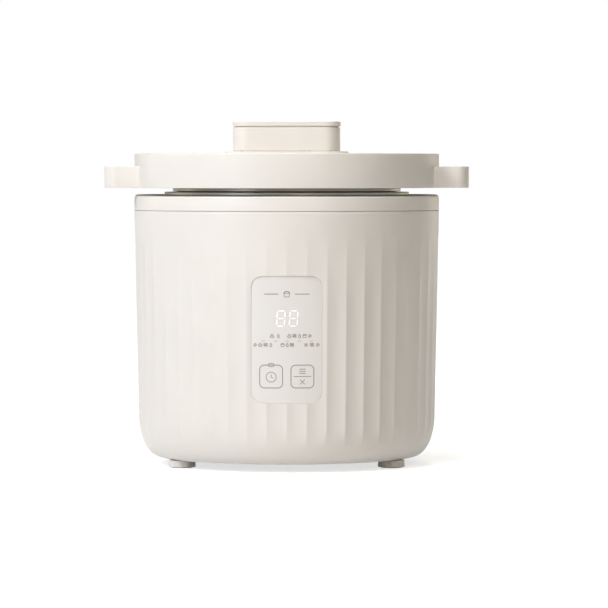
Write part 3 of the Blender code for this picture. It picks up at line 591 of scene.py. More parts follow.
def make_shell():
    """Fluted side, rounded bottom corner, underside lip and plain inner wall, as one closed sheet.

    The grid's columns follow the flutes, closer together at the ridges, and its inner rows repeat
    its outer ones, so that the panel's window and the inlet's opening can join the two walls.
    """
    in_flute = np.array([0, 0.05, 0.18, 0.34, 0.5, 0.66, 0.82, 0.95])
    angle = ((np.arange(FLUTES)[:, None] + in_flute) / FLUTES).ravel() * TAU - TAU * 0.75
    columns = len(angle)
    front = columns // 2
    window_top = top_of("control_panel") + 1.7
    window_low = bottom_of("control_panel") - 1.7
    rows = np.concatenate([np.linspace(SEAM_Z - 0.06, window_top, 16),
                           np.linspace(window_top, window_low, 44)[1:],
                           np.linspace(window_low, CORNER_Z, 8)[1:]])
    bend = np.linspace(0, TAU / 4, 25)[1:]
    side = side_radius(rows)[:, None] - FLUTE_DEPTH * flute_share(rows)[:, None] * scallop(angle)
    side = round_axis(side, rows[:, None], angle)
    # in the bottom corner a flute's depth is measured square to the ellipse
    bend_z = CORNER_Z - (CORNER_Z - UNDERSIDE_Z) * np.sin(bend)
    lean = np.arctan2(np.sin(bend) / (CORNER_Z - UNDERSIDE_Z), np.cos(bend) / CORNER_W)[:, None]
    hollow = FLUTE_DEPTH * flute_share(bend_z)[:, None] * scallop(angle)
    r = (CORNER_R - CORNER_W * (1 - np.cos(bend)))[:, None] - hollow * np.cos(lean)
    corner = round_axis(r, bend_z[:, None] + hollow * np.sin(lean), angle)
    seam_r = side_radius(SEAM_Z)
    ledge = [(LIP_R, UNDERSIDE_Z + 0.4), (LIP_R, LEDGE_LOW), (LEDGE_R, LEDGE_LOW), (LEDGE_R, LEDGE_TOP)]
    inner_bend = bend[::-1]
    inner_corner = np.stack([CORNER_R - CORNER_W + (CORNER_W - SHELL_WALL) * np.cos(inner_bend),
                             CORNER_Z - (CORNER_Z - LEDGE_TOP) * np.sin(inner_bend)], -1)
    inner_side = np.stack([side_radius(rows[::-1]) - SHELL_WALL, rows[::-1]], -1)
    crest = rings([(seam_r - SHELL_WALL, SEAM_Z), (seam_r - 0.06, SEAM_Z),
                   (seam_r - 0.015, SEAM_Z - 0.015)], angle)
    grid = np.concatenate([crest, side, corner, rings(ledge, angle), rings(inner_corner, angle),
                           rings(inner_side, angle)])
    points = grid.reshape(-1, 3)
    ids = numbered(len(grid), columns)
    cells = quads(ids, True, True)
    keep = np.ones(ids.shape, bool)
    sheets = [points]
    joins = []
    inlet_half = half_of("power_inlet")[[0, 2]] + 0.3
    inlet_middle = middle_of("power_inlet")[[0, 2]]
    heights = np.concatenate([rows, bend_z])
    above = int(np.sum(heights > inlet_middle[1] + inlet_half[1] + 1)) - 1
    below = int(np.sum(heights > inlet_middle[1] - inlet_half[1] - 1.5))
    window_cols = np.arange(front - 14, front + 15)
    inlet_cols = np.arange(-11, 12) % columns
    gaps = [(15, 58, window_cols, -1, half_of("control_panel")[[0, 2]] + 0.05, PANEL_CORNER,
             middle_of("control_panel")[[0, 2]]),
            (above, below, inlet_cols, 1, inlet_half, 2, inlet_middle)]
    for top, low, cols, *outline in gaps:
        outer_rows = len(crest) + np.arange(top, low + 1)
        inner_rows = len(grid) - 1 - np.arange(top, low + 1)
        keep[np.ix_(outer_rows[:-1], cols[:-1])] = False
        keep[np.ix_(inner_rows[1:], cols[:-1])] = False
        sheet, faces = opening(points, ids[np.ix_(outer_rows, cols)], ids[np.ix_(inner_rows, cols)],
                               sum(map(len, sheets)), *outline)
        sheets.append(sheet)
        joins.append(faces)
    return np.concatenate(sheets), [cells[keep.ravel()]] + joins


# ---- collar, deck plate and locking ring ----
def corner_arc(radius, start_deg, end_deg):
    """Arc round the collar's top corner, from pointing up (90) to pointing outwards (0)."""
    return list(arc(BODY_R - DECK_CORNER, DECK_Z - DECK_CORNER, radius, radius, start_deg, end_deg, 8))


def make_collar():
    under = DECK_CORNER - DECK_T - 0.1
    skirt_r = 102.4
    profile = [(DECK_HOLE_R, DECK_Z - DECK_T - 0.1)] + corner_arc(under, 90, DECK_WRAP)
    profile += corner_arc(DECK_CORNER - 0.15, DECK_WRAP - 3, 0)
    profile += [(BODY_R, DECK_Z - DECK_CORNER - 0.6), (BODY_R, COLLAR_LOW + 0.06),
                (BODY_R - 0.06, COLLAR_LOW), (skirt_r, COLLAR_LOW), (skirt_r, 168.8), (skirt_r - 2, 168.8),
                (skirt_r - 2, DECK_Z - 2.4), (DECK_HOLE_R, DECK_Z - 2.4)]
    return lathe(profile, 256)


# the deck trim wraps the collar's top corner in dim olive steel, which is painted shade of the lid's
# overhang
def make_deck_plate():
    inner = DECK_CORNER - DECK_T
    profile = [(DECK_HOLE_R, DECK_Z - 0.15), (DECK_HOLE_R + 0.15, DECK_Z)]
    profile += corner_arc(DECK_CORNER, 90, DECK_WRAP) + corner_arc(inner, DECK_WRAP, 90)
    profile += [(DECK_HOLE_R, DECK_Z - DECK_T)]
    return lathe(profile, 256)


def make_locking_ring():
    low, high = heights_of("locking_ring")
    inner, outer = 80.3, radius_of("locking_ring")
    rim = fillet([(inner, high), (outer, high), (outer, low), (inner, low)], (0.2, 0.5, 0.2, 0.2))
    teeth = [sector(76, inner + 0.8, 184.6, high - 0.1, 30 + 60 * i, 28, 0.3) for i in range(6)]
    return carve(lathe(rim), teeth)


# ---- control panel ----
def on_panel(xz, lift):
    """Points on the panel's face at (x, z), lifted off it."""
    x, z = xz[..., 0], xz[..., 1]
    radius = side_radius(z) - PANEL_SINK + lift
    return np.stack([x, -np.sqrt(radius ** 2 - x ** 2), z], -1)


def make_panel():
    """Face, rounded edge and back of the curved panel, from nested rounded rectangles."""
    steps = np.linspace(-1, 1, 33)
    u, v = np.meshgrid(steps, -steps)
    half = half_of("control_panel")[[0, 2]]
    middle = middle_of("control_panel")[[0, 2]]
    edge = 0.15
    face_xz = rounded_rect(u, v, half - edge, PANEL_CORNER - edge, middle)
    full_xz = rounded_rect(u, v, half, PANEL_CORNER, middle)
    face = on_panel(face_xz, 0)
    back = on_panel(full_xz, -PANEL_T)
    ids = numbered(*u.shape)
    back_ids = ids + ids.size
    rim = rim_of(ids)[::-1]
    bend = []
    for t in np.linspace(0, TAU / 4, 5)[1:]:
        xz = (face_xz + (full_xz - face_xz) * math.sin(t)).reshape(-1, 2)[rim]
        bend.append(on_panel(xz, -edge * (1 - math.cos(t))))
    side_ids = np.concatenate([rim[None], numbered(len(bend), len(rim), 2 * ids.size), rim[None] + ids.size])
    points = np.concatenate([face.reshape(-1, 3), back.reshape(-1, 3), *bend])
    return facing_out(points, [quads(ids), quads(back_ids[:, ::-1]), quads(side_ids, wrap_cols=True)])


def ribbon(path, width, height=0.06, closed=False):
    """Flat printed line on the panel: a path of (x, z) with square sides, standing a little proud."""
    path = np.asarray(path, float)
    if closed:
        along = np.roll(path, -1, 0) - np.roll(path, 1, 0)
    else:
        along = np.gradient(path, axis=0)
    along /= np.linalg.norm(along, axis=1, keepdims=True)
    across = np.stack([-along[:, 1], along[:, 0]], -1) * np.broadcast_to(width, len(path))[:, None] / 2
    corners = [on_panel(path + side * across, lift) for side, lift in
               ((1, height), (-1, height), (-1, -0.1), (1, -0.1))]
    return closed_grid(np.stack(corners, 1), wrap_rows=closed)


def dash(x, z, half_length, width, points=8):
    """Level printed line."""
    return ribbon(np.linspace((x - half_length, z), (x + half_length, z), points), width)


def ring_path(x, z, half_x, half_z, corner):
    """Rounded rectangle as a closed path with evenly spaced points, so that it can follow a curve."""
    middle, outward = plan(half_x, half_z, corner, 8)
    loop = middle + corner * outward + (x, z)
    loop = np.concatenate([loop, loop[:1]])
    reach = np.concatenate([[0], np.cumsum(np.linalg.norm(np.diff(loop, axis=0), axis=1))])
    mark = np.linspace(0, reach[-1], 72, endpoint=False)
    return np.stack([np.interp(mark, reach, loop[:, 0]), np.interp(mark, reach, loop[:, 1])], -1)


TURN = np.linspace(0, TAU, 19)
STEAM = np.linspace(0, 1, 9)
RIPPLE = np.linspace(-1, 1, 17)
RAYS = [np.array([math.cos(a), math.sin(a)]) for a in np.linspace(0, TAU, 8, endpoint=False)]
# each pictogram is a list of paths in a square from -1 to 1; a closed one ends where it starts
PICTOGRAMS = {
    "bowl": [arc(0, 0, 0.95, 0.9, 180, 360), [(-1, 0), (1, 0)]]
            + [np.stack([x + 0.12 * np.sin(STEAM * TAU), 0.3 + 0.7 * STEAM], -1) for x in (-0.35, 0.35)],
    "pot": [[(-0.75, 0.3), (-0.75, -0.8), (0.75, -0.8), (0.75, 0.3)], [(-1, 0.3), (1, 0.3)],
            arc(0, 0.35, 0.75, 0.45, 0, 180)],
    "drop": [np.stack([0.62 * np.sin(TURN) * np.sin(TURN / 2), 0.9 * np.cos(TURN)], -1)],
    "leaf": [arc(-0.5, -0.5, 1.3, 1.3, 5, 85), arc(0.6, 0.6, 1.25, 1.25, 185, 265),
             [(-0.8, -0.8), (0.45, 0.45)]],
    "wave": [np.stack([RIPPLE, z + 0.22 * np.sin(RIPPLE * TAU)], -1) for z in (-0.5, 0.1, 0.7)],
    "sun": [arc(0, 0, 0.4, 0.4, 0, 360)] + [[0.68 * ray, ray] for ray in RAYS],
    "clock": [arc(0, 0, 0.95, 0.95, 0, 360, 24), [(0, 0.55), (0, 0), (0.42, -0.2)]],
    "menu": [[(-0.9, z), (0.9, z)] for z in (-0.6, 0, 0.6)],
    "stop": [[(-0.6, -0.6), (0.6, 0.6)], [(-0.6, 0.6), (0.6, -0.6)]],
}


def drawn(pictogram, x, z, size, width):
    """Lines of one pictogram at a place on the panel, with a half-height of `size`."""
    lines = []
    for path in PICTOGRAMS[pictogram]:
        path = np.asarray(path, float) * size + (x, z)
        if len(path) == 2:
            path = np.linspace(path[0], path[1], 4)
        closed = bool(np.linalg.norm(path[0] - path[-1]) < 0.05)
        lines.append(ribbon(path[:-1] if closed else path, width, closed=closed))
    return lines


def make_digit(x, z, half_x, half_z, width):
    """The seven bars of a lit digit, each tapered at its ends, leaning a little to the right."""
    lean = 0.06
    gap = width * 0.7
    bars = [[(-half_x + gap, height), (half_x - gap, height)] for height in (-half_z, 0, half_z)]
    bars += [[(side, low + gap), (side, low + half_z - gap)] for side in (-half_x, half_x)
             for low in (-half_z, 0)]
    shapes = []
    for bar in bars:
        path = np.linspace(bar[0], bar[1], 7)
        path[:, 0] += lean * path[:, 1]
        taper = width * np.array([0.25, 0.9, 1, 1, 1, 0.9, 0.25])
        shapes.append(ribbon(path + (x, z), taper, 0.03))
    return shapes


def make_panel_marks():
    """Printed key frames and pictograms, indicator dots, and the lit digits."""
    key_x = middle_of("touch_spring_right")[0]
    key_z = middle_of("touch_spring_left")[2]
    display_z = middle_of("display_module")[2]
    key_half, line, title_line = 7.6, 0.5, 0.6
    title_z = display_z + 16.2
    prints = [ribbon(ring_path(x, key_z, key_half, key_half, 3), 0.62, closed=True)
              for x in (-key_x, key_x)]
    prints += [ribbon(ring_path(-key_x, key_z + key_half, 1.9, 1.05, 1), line, closed=True),
               dash(key_x, key_z, 5.8, line)]
    prints += drawn("clock", -key_x, key_z - 0.4, 3.5, line)
    prints += drawn("menu", key_x, key_z + 3.5, 2.3, line)
    prints += drawn("stop", key_x, key_z - 3.6, 2.6, line)
    prints += drawn("pot", 0, title_z, 2.3, title_line)
    prints += [dash(x, title_z, 4.75, title_line) for x in (-10.25, 10.25)]
    piece("panel_key_print", join(*prints), PRINT_GREY, "base")
    upper, lower = display_z - 11.6, display_z - 17.6
    rows = [(-7.7, upper, 4.2, "bowl drop"), (8.5, upper, 3.4, "bowl wave drop pot leaf"),
            (-15.8, lower, 3.5, "leaf bowl wave drop"), (0.3, lower, 3.1, "pot drop wave"),
            (16.7, lower, 3.9, "sun wave leaf")]
    marks = []
    for x, z, pitch, names in rows:
        names = names.split()
        for i, name in enumerate(names):
            marks += drawn(name, x + (i - (len(names) - 1) / 2) * pitch, z, 1.35, line)
    piece("panel_programme_print", join(*marks), PRINT_MID, "base")
    dots = [dash(x, display_z - 15, 1.1, 0.55, 5) for x in (-15.6, -7.3, 0.4, 8.3, 16.4)]
    piece("panel_indicator_marks", join(*dots), PRINT_FAINT, "base")
    for name, x in (("tens", -3.9), ("units", 4.5)):
        digit = join(*make_digit(x, display_z, 2.6, 5.1, 0.74))
        piece("lit_digit_" + name, digit, DIGIT, "base")


# ---- feet and underside ----
def make_foot(name, centre):
    radius = 9.3
    top = UNDERSIDE_Z - 0.3
    stand = 0.4
    outline = fillet([(0, top), (radius - 0.4, top), (radius, stand), (7.6, stand), (7.6, 1.7), (0, 1.7)],
                     (0, 0.5, 0.7, 0.2, 0, 0))
    inward = centre / np.linalg.norm(centre) * (np.linalg.norm(centre) - 3)
    foot = carve(lathe(outline, 72, centre), [rod(2.5, top - 1.4, top + 2.6, inward, 0.3)])
    piece("foot_leg_" + name, foot, IVORY, "base", ["foot_" + name])
    grooves = [(7.3, 0.3), (7, 0), (5.6, 0), (5.4, 0.3), (4.6, 0.3), (4.4, 0), (2.9, 0), (2.7, 0.3),
               (1.9, 0.3), (1.7, 0), (0, 0)]
    pad = lathe([(0, 1.4), (7.3, 1.4)] + grooves, 72, centre)
    piece("foot_sole_" + name, pad, RUBBER, "base", ["foot_pad_" + name])


def make_screw(name, head_low, head_high, tip, head_radius, body):
    """Pan-head screw pointing up, with a cross recess under its head and a thread on its shank."""
    centre = middle_of(name)[:2]
    height = np.linspace(head_high, tip - 1, int((tip - 1 - head_high) / 0.25) + 1)
    thread = [(1.4 - 0.28 * (i % 2), z) for i, z in enumerate(height)]
    dome = [(head_radius * math.sin(t), head_low + 0.75 - 0.75 * math.cos(t))
            for t in np.linspace(TAU / 4, 0, 8)[:-1]]
    profile = [(0, tip), (0.7, tip)] + thread[::-1] + [(head_radius, head_high)] + dome + [(0, head_low)]
    cross = [slab(half_x, half_y, 0.2, [(0, head_low + 0.9), (0, head_low - 1)], centre)
             for half_x, half_y in ((1.7, 0.35), (0.35, 1.7))]
    shape = carve(lathe(profile, 40, centre), (), cross)
    piece(name + "_detail", shape, ZINC, body, [name])


# ---- cooking pots and heater ----
def make_outer_pot():
    wall, floor = 1.3, 40.8
    outer = 81.6
    inner = outer - wall
    flange_r, flange_low, flange_top = 88, 181.2, 182.7
    profile = [(flange_r, flange_top), (flange_r, flange_low), (outer, flange_low), (outer, floor),
               (9, floor), (9, floor + wall), (inner, floor + wall), (inner, flange_top)]
    shape = lathe(fillet(profile, (0.4, 0.4, 1.2, 11, 0.4, 0.4, 9.7, 0.5), 10))
    terminals = [rod(4.2, floor - 3, floor + 4, 40 * np.array([math.cos(a), math.sin(a)]))
                 for a in np.radians((75, 105))]
    return carve(shape, (), terminals)


def make_inner_pot():
    """Drawn pot with a rolled rim, rounded bottom corners and a shallow raised ring in its base."""
    low, high = heights_of("inner_pot")
    outer, wall, rim = 72.5, 1.3, radius_of("inner_pot")
    inner = outer - wall
    profile = [(0, low + 1.6), (30, low + 1.6), (33, low + 1.9), (36, low + 1.6), (inner, low + 1.6),
               (inner, high), (rim, high), (rim, high - 1.4), (outer, high - 2.2), (outer, low), (36, low),
               (33, low + 0.3), (30, low), (0, low)]
    radii = (0, 2, 2, 2, 11, 0.9, 0.65, 0.55, 0.9, 12.5, 2, 2, 2, 0)
    return lathe(fillet(profile, radii, 8), 240)


def make_level_lines():
    """Fill lines on the pot's wall: long ones for full steps and short ones between."""
    wall = 71.2
    lines = []
    for i in range(7):
        z = 92 + 11 * i
        width = 9 if i % 2 else 16
        lines.append(sector(wall - 0.12, wall + 0.05, z, z + 0.7, 90, width, steps=12))
    return join(*lines)


def make_heating_plate():
    """Cast disc with fine turned rings on its face."""
    low, high = heights_of("heating_plate")
    outer, hole = radius_of("heating_plate"), 12.5
    face = [(r, high - d) for r in np.arange(20, outer - 4, 4) for r, d in ((r, 0), (r + 2, 0.12))]
    profile = [(hole, low), (hole, high - 0.5), (hole + 0.5, high)] + face
    profile += [(outer - 1.5, high), (outer - 0.44, high - 0.44), (outer, high - 1.5), (outer, low)]
    return lathe(profile[::-1])


def make_sealing_ring():
    low, high = heights_of("sealing_ring")
    profile = [(67.8, high), (73.4, high), (73.4, 181.6), (72, low), (70, low), (68.4, 182.4),
               (66.6, 184)]
    return lathe(fillet(profile, (0.6, 0.6, 0.8, 0.5, 0.5, 0.8, 0.6)), 240)


# ---- lid ----
SCREW_PLACES = [50 * np.array([math.cos(a), math.sin(a)]) for a in np.radians((30, 150, 270))]
NOZZLE = middle_of("vent_nozzle")[:2]
FLOAT = middle_of("float_valve")[:2]
KNOB_SCREWS = [(x, 0) for x in (-30.5, 30.5)]
CAP_SPRINGS = [(x, 0) for x in (-23, 23)]


# a cutter reaches a few millimetres past what it cuts, never just to its face
def make_lid_cover():
    """Round cover with a crisp rim and two block handles, hollow below, with bosses and bores."""
    wall = 2.5
    disc = lathe(fillet([(0, LID_TOP), (LID_R, LID_TOP), (LID_R, LID_LOW), (0, LID_LOW)],
                        (0, 1, 0.35, 0)), 256)
    handles = slab(HANDLE_REACH, HANDLE_HALF_DEPTH, HANDLE_CORNER,
                   edge_profile(LID_LOW + 0.1, HANDLE_TOP, 0.45, 0.35))
    roof = LID_TOP - wall
    hollow = rod(LID_R - wall, LID_LOW - 8, roof, edge=0.5, sides=256)
    handle_hollow = slab(HANDLE_REACH - wall, HANDLE_HALF_DEPTH - wall, HANDLE_CORNER - wall,
                         [(0, HANDLE_TOP - wall), (0, LID_LOW - 7)])
    bosses = [rod(4.5, 198, roof + 1, place, 0.2) for place in SCREW_PLACES]
    bores = [rod(1.8, 180, 208, place) for place in SCREW_PLACES]
    bores += [rod(SCREW_BORE, roof - 9, LID_TOP + 4, place) for place in KNOB_SCREWS]
    bores += [rod(NOZZLE_BORE, roof - 8, LID_TOP + 5, NOZZLE), rod(4.2, roof - 7, LID_TOP + 6, FLOAT)]
    return carve(carve(disc, [handles], [hollow, handle_hollow]), bosses, bores)


def make_lid_liner():
    low, high = heights_of("lid_liner")
    disc = rod(102.1, low, high, edge=0.3, sides=240)
    wings = slab(radius_of("lid_liner"), 28.2, 6.2, edge_profile(low + 0.02, high - 0.02, 0.3, 0.3))
    return carve(disc, [wings], [rod(79.1, low - 2, high + 2, sides=240)])


def make_steel_lid():
    """Pressed lid: shallow crown, shelf, outer band and neck with six locking lugs."""
    outside = [(0, 198), (28, 197.8), (56, 197.2), (60, 195.5), (62, 190.6), (78.6, 190.6),
               (78.6, 187.7), (75.4, 187.7), (75.4, 180.6)]
    inside = [(73.9, 180.6), (73.9, 189.1), (60.5, 189.1), (58.6, 194.6), (55.3, 195.7), (28, 196.3),
              (0, 196.5)]
    radii = (0, 60, 3, 1.6, 1.6, 0.5, 0.25, 0.2, 0.4, 0.4, 0.8, 1, 1.6, 2, 60, 0)
    shape = lathe(fillet(outside + inside, radii, 6), 240)
    lugs = [sector(74.7, 79.4, 180.9, 184.1, 60 * i, 26, 0.4) for i in range(6)]
    holes = [rod(SCREW_BORE, 180, 202, place) for place in SCREW_PLACES]
    holes += [rod(4.4, 181, 203, NOZZLE), rod(2.6, 182, 204, FLOAT)]
    return carve(shape, lugs, holes)


def make_plinth():
    half = half_of("knob_plinth")
    low, high = heights_of("knob_plinth")
    top = low + 1.3
    plate = slab(half[0], half[1], 16, edge_profile(low, top, 0.45, 0.1))
    post = edge_profile(top - 0.8, high, 0.4, 0.1)
    posts = [slab(2.5, 1.5, 0.3, post, (0, y)) for y in (-9.1, 9.1)]
    points, faces = rod(1.8, -15, 15)
    pin_bore = facing_out(points[:, [0, 2, 1]] + (0, 0, middle_of("lever_pin")[2]), faces)
    holes = [rod(SCREW_BORE, low - 3, top + 3, place) for place in KNOB_SCREWS]
    return carve(plate, posts, [rod(NOZZLE_BORE, low - 4, top + 4, NOZZLE), *holes, pin_bore])


def cap_openings(low, high):
    """Cutters for the springs' rooms and for the slot of the cap's stem."""
    slot = slab(2.3, 4.8, 0.4, [(0, high - 1), (0, low + 1)], PUSH_PLACE)
    return [rod(3.8, low, high, place) for place in CAP_SPRINGS] + [slot]


def make_knob():
    """Knob wall and roof with screw bosses, spring guides, the push slot and steam slots at the back."""
    wall = 2
    half = half_of("knob_body")
    low, high = heights_of("knob_body")
    roof = high - wall
    block = slab(half[0], half[1], KNOB_CORNER, edge_profile(low, high, 0.25, 0.05))
    room = slab(half[0] - wall, half[1] - wall, KNOB_CORNER - wall, [(0, roof), (0, low - 4)])
    bosses = [rod(3.5, low + 0.9, roof + 0.8, place, 0.2) for place in KNOB_SCREWS]
    cuts = [rod(1.8, low - 4, 226, place) for place in KNOB_SCREWS]
    cuts += cap_openings(roof - 3, high + 4)
    cuts += [slab(1.5, 6, 0.7, [(0, 227), (0, 219)], (x, half[1])) for x in range(-16, 17, 8)]
    return carve(carve(block, (), [room]), bosses, cuts)


def make_cap_seat():
    """Low step on the knob's roof that the cap closes over, with room for the springs and the push stem."""
    half = half_of("knob_body") - SEAT_INSET
    low = top_of("knob_body")
    step = slab(half[0], half[1], KNOB_CORNER - SEAT_INSET, edge_profile(low, low + 1.3, 0.2, 0.05))
    return carve(step, (), cap_openings(low - 3, low + 4))


def make_cap():
    """Thin press cap, soft at its top edge and recessed below to clear its seat, with its stems."""
    half = half_of("vent_cap")
    high = top_of("vent_cap")
    low = high - 3.1
    cap = slab(half[0], half[1], KNOB_CORNER, edge_profile(low, high, 0.55, 0.12, 8))
    room = SEAT_INSET + 0.1
    pocket = slab(half[0] - room, half[1] - room, KNOB_CORNER - room, [(0, low + 1.5), (0, low - 2)])
    stems = [slab(1.5, 4, 0.4, [(0, low + 2.2), (0, CAP_PUSH_LOW)], PUSH_PLACE)]
    for place in CAP_SPRINGS:
        stems += [rod(1.8, low - 14, low + 2.3, place, 0.3), rod(3.4, low, low + 2.1, place, 0.2)]
    return carve(carve(cap, (), [pocket]), stems)


# ---- steam and float valve parts ----
def make_turned(name, corners, rounds, place, body, node, finish=BRIGHT_STEEL):
    """Small turned part on its own upright axis."""
    piece(name, lathe(fillet(corners, rounds), 64, place), finish, body, [node])


def make_filter():
    """Cup under the nozzle with slits all round its wall."""
    cup = [(0, 189.5), (8, 189.5), (8, 195.8), (9, 195.8), (9, 188.5), (0, 188.5)]
    cup = lathe(fillet(cup, (0, 0.5, 0.3, 0.3, 1.2, 0)), 72, NOZZLE)
    slits = []
    for angle in np.arange(6) * TAU / 12:
        points, faces = slab(12, 0.7, 0.3, [(0, 194.2), (0, 190.8)])
        c, s = math.cos(angle), math.sin(angle)
        turned = points @ np.array([[c, s, 0], [-s, c, 0], [0, 0, 1]])
        slits.append((turned + (*NOZZLE, 0), faces))
    return carve(cup, (), slits)


def make_valve_parts():
    nozzle = [(4, 217), (4, 201), (7, 201), (7, 198.3), (4, 198.3), (4, 190.5),
              (1.6, 190.5), (1.6, 217)]
    make_turned("steam_nozzle", nozzle, (0.6, 0.3, 0.4, 0.4, 0.3, 0.4, 0.2, 0.6), NOZZLE,
                "lid", "vent_nozzle")
    piece("anti_block_filter", make_filter(), BRIGHT_STEEL, "lid", ["vent_filter"])
    weight = [(0, 227.5), (6, 227.5), (6, 222.3), (3.2, 222.3), (3.2, 217.3), (1, 217.3),
              (1, 215.6), (0, 215.6)]
    make_turned("limiting_weight", weight, (0, 0.8, 0.3, 0.3, 0.3, 0.3, 0.3, 0), NOZZLE,
                "weight", "pressure_weight")
    stem = [(0, 213.2), (3.4, 213.2), (3.4, 204), (2, 204), (2, 199.5), (3.6, 199.5), (3.6, 198),
            (2, 198), (2, 190.2), (6, 190.2), (6, 188.8), (0, 188.8)]
    make_turned("float_pin", stem, (0, 0.5, 0.3, 0.3, 0.3, 0.2, 0.2, 0.3, 0.2, 0.3, 0.4, 0), FLOAT,
                "float", "float_valve")
    washer = [(2.5, 191.6), (5.2, 191.6), (5.2, 190.5), (2.5, 190.5)]
    make_turned("float_washer", washer, (0.25, 0.4, 0.4, 0.25), FLOAT, "float", "float_seal",
                SILICONE)


def make_spring(node, wire, turns, body):
    """Round-wire compression spring in a packed spring's place, with a mesh of its own."""
    low, high = heights_of(node)
    centre = middle_of(node)[:2]
    coil = spring(centre, half_of(node)[0] - wire, low + wire, high - wire, turns, wire)
    obj = piece(node + "_coil", coil, DRAWN_STEEL, body, [node])
    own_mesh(obj)


# ---- put the pieces together ----
piece("fluted_shell", make_shell(), IVORY, "base", ["outer_shell"], sharp=40)
piece("upper_collar", make_collar(), IVORY, "base", ["top_collar"])
# deck trim in steel coloured with painted shade
piece("deck_trim_painted_shade", make_deck_plate(), DECK_STEEL_PAINTED_SHADE, "base", ["deck_plate"])
piece("lock_ring", make_locking_ring(), SATIN_STEEL, "base", ["locking_ring"])
piece("touch_panel", make_panel(), PANEL_FILM, "base", ["control_panel"])
make_panel_marks()
for leg in ("front_right", "front_left", "rear"):
    make_foot(leg, middle_of("foot_pad_" + leg)[:2])
for number in (1, 2, 3):
    make_screw("base_screw_%d" % number, UNDERSIDE_Z, UNDERSIDE_Z + 1.4, 13, 3.1, "base")
    make_screw("lid_screw_%d" % number, 193.2, 195.3, 206, 3.5, "lid")
for hand in ("left", "right"):
    make_screw("knob_screw_" + hand, 208.4, 210.6, 224, 3.2, "lid")

piece("pot_housing", make_outer_pot(), SATIN_STEEL, "base", ["outer_pot"])
piece("heater_casting", make_heating_plate(), CAST_ALUMINIUM, "base", ["heating_plate"])
piece("cooking_pot", make_inner_pot(), COATING, "pot", ["inner_pot"])
piece("pot_level_lines", make_level_lines(), COMPONENT_GREY, "pot")
piece("lid_gasket", make_sealing_ring(), SILICONE, "seal", ["sealing_ring"])
piece("round_lid", make_lid_cover(), IVORY, "lid", ["lid_cover"])
piece("lid_underside", make_lid_liner(), IVORY, "lid", ["lid_liner"])
piece("pressed_lid", make_steel_lid(), PRESSED_STEEL, "lid", ["steel_lid"])
piece("knob_base", make_plinth(), IVORY, "lid", ["knob_plinth"])
piece("knob_housing", make_knob(), IVORY, "lid", ["knob_body"])
piece("cap_seat", make_cap_seat(), IVORY, "lid")
piece("release_cap", make_cap(), IVORY, "cap", ["vent_cap"])
make_valve_parts()
make_spring("sensor_spring", 0.6, 5, "base")
make_spring("cap_spring_left", 0.4, 7, "lid")
make_spring("cap_spring_right", 0.4, 7, "lid")

# what stays as the model has it gets its finish here
CARRIED = {
    IVORY: "bottom_cover",
    BLACK: "board_tray display_module power_inlet transformer pressure_switch",
    COMPONENT_GREY: "relay filter_capacitor",
    BOARD: "power_board control_board",
    BRASS: "inlet_pin_left inlet_pin_right inlet_pin_earth",
    COPPER: "touch_spring_left touch_spring_right",
    RUBBER: "display_lead",
    CAST_ALUMINIUM: "temperature_sensor heat_shield",
    ZINC: "heating_element sensor_bracket thermal_fuse vent_lever",
    DRAWN_STEEL: "lever_pin",
}
for finish, names in CARRIED.items():
    for node in names.split():
        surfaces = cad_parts[node].data.materials
        surfaces.clear()
        surfaces.append(finish)


# ---- floor, light and camera ----
WHITE = (1, 1, 1, 1)
FLOOR_LIFT = 0.66                    # how white the floor shows under the cooker
CAMERA_PLACE = (0, -2.622, 0.200)  # metres
CAMERA_DOWN = 1.97                   # degrees below level
CAMERA_TURN = -0.26                  # degrees about Z, negative to the right
AIM = Vector((0, 0, 0.12))       # what the lights face, in metres
LIGHT_DISTANCE = 1.7


def make_floor():
    """White floor. What is seen or mirrored of it is lifted to white in the distance."""
    corners = 30 * np.array([(-1, -1, 0), (1, -1, 0), (1, 1, 0), (-1, 1, 0)], float)
    floor = mesh_object("studio_floor", corners, [[(0, 1, 2, 3)]])
    material, shader = node_material("studio_floor", {
        "Base Color": shaded(WHITE, 0.78), "Roughness": 0.8, "Specular IOR Level": 0.1,
        "Emission Color": WHITE})
    tree = material.node_tree
    where = new_node(tree, "TexCoord")
    distance = new_node(tree, "VectorMath", operation="LENGTH")
    lift = new_node(tree, "MapRange", {"From Min": 0.35, "From Max": 1.5,
                                       "To Min": FLOOR_LIFT, "To Max": 1})
    seen = new_node(tree, "LightPath")
    either = new_node(tree, "Math", operation="MAXIMUM")
    strength = new_node(tree, "Math", operation="MULTIPLY")
    connect(tree, (where, "Object", distance, 0), (distance, "Value", lift, "Value"),
            (lift, "Result", strength, 0), (seen, "Is Camera Ray", either, 0),
            (seen, "Is Glossy Ray", either, 1), (either, "Value", strength, 1),
            (strength, "Value", shader, "Emission Strength"))
    floor.data.materials.append(material)


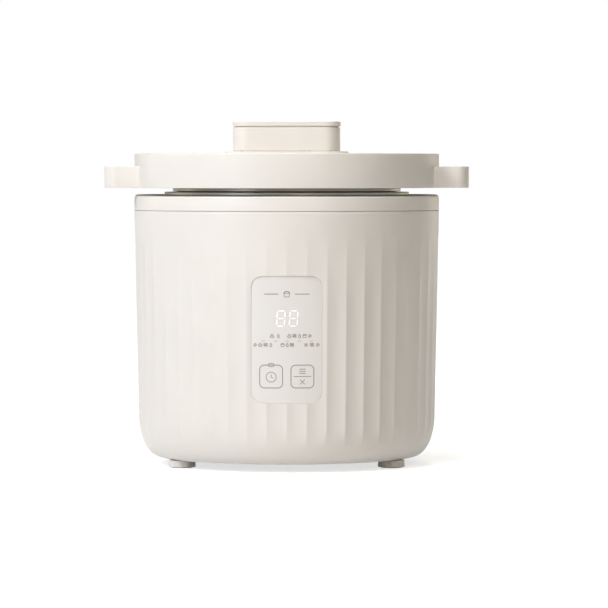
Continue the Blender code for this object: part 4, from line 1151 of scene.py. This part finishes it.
def add_softbox(name, side_deg, elevation_deg, power, colour):
    """Rectangular soft light aimed at the body, at an angle from the front (to the right is positive)."""
    light = bpy.data.lights.new(name, "AREA")
    light.shape = "RECTANGLE"
    light.size, light.size_y = 0.55, 0.9
    light.energy = power
    light.color = colour
    obj = placed(name, light)
    azimuth = math.radians(side_deg - 90)
    elevation = math.radians(elevation_deg)
    away = Vector((math.cos(azimuth) * math.cos(elevation), math.sin(azimuth) * math.cos(elevation),
                   math.sin(elevation)))
    obj.location = AIM + away * LIGHT_DISTANCE
    obj.rotation_mode = "QUATERNION"
    obj.rotation_quaternion = away.to_track_quat("Z", "Y")


def make_world(strength, mirrored):
    """White behind everything, an even dim white as fill, and a light grey room for gloss to mirror."""
    world = bpy.data.worlds.new("studio")
    world.use_nodes = True
    tree = world.node_tree
    tree.nodes.clear()
    seen, fill, room = [new_node(tree, "Background", {"Color": WHITE, "Strength": light})
                        for light in (1, strength, mirrored)]
    which = new_node(tree, "LightPath")
    gloss = new_node(tree, "MixShader")
    mix = new_node(tree, "MixShader")
    output = new_node(tree, "OutputWorld")
    connect(tree, (which, "Is Glossy Ray", gloss, "Fac"), (fill, "Background", gloss, 1),
            (room, "Background", gloss, 2), (which, "Is Camera Ray", mix, "Fac"), (gloss, "Shader", mix, 1),
            (seen, "Background", mix, 2), (mix, "Shader", output, "Surface"))
    bpy.context.scene.world = world


def make_camera():
    """Long lens, level with the knob and a little to the right of the cooker's axis."""
    camera = bpy.data.cameras.new("camera")
    camera.sensor_width = 36
    camera.lens = 225
    obj = placed("camera", camera)
    obj.location = CAMERA_PLACE
    obj.rotation_euler = (math.radians(90 - CAMERA_DOWN), 0, math.radians(CAMERA_TURN))
    bpy.context.scene.camera = obj


SOFTBOXES = {
    "key_left": (-45, 35, 17.7, (0.93, 0.95, 1)),
    "low_left": (-45, 12, 2.7, (0.72, 0.84, 1)),
    "overhead": (0, 75, 11.8, (1, 0.97, 0.95)),
    "far_left": (-115, 15, 2.9, (1, 0.88, 0.74)),
    "back_right": (140, 12, 1.6, (1, 0.87, 0.49)),
    "back_fill": (178, 35, 4.5, (1, 0.98, 0.95)),
    "front_fill": (15, 25, 5.3, (1, 0.9, 0.77)),
}
make_floor()
make_world(0.003, 0.6)
for box_name, box_light in SOFTBOXES.items():
    add_softbox(box_name, *box_light)
make_camera()
view = bpy.context.scene.view_settings
view.view_transform = "Standard"
view.look = "None"
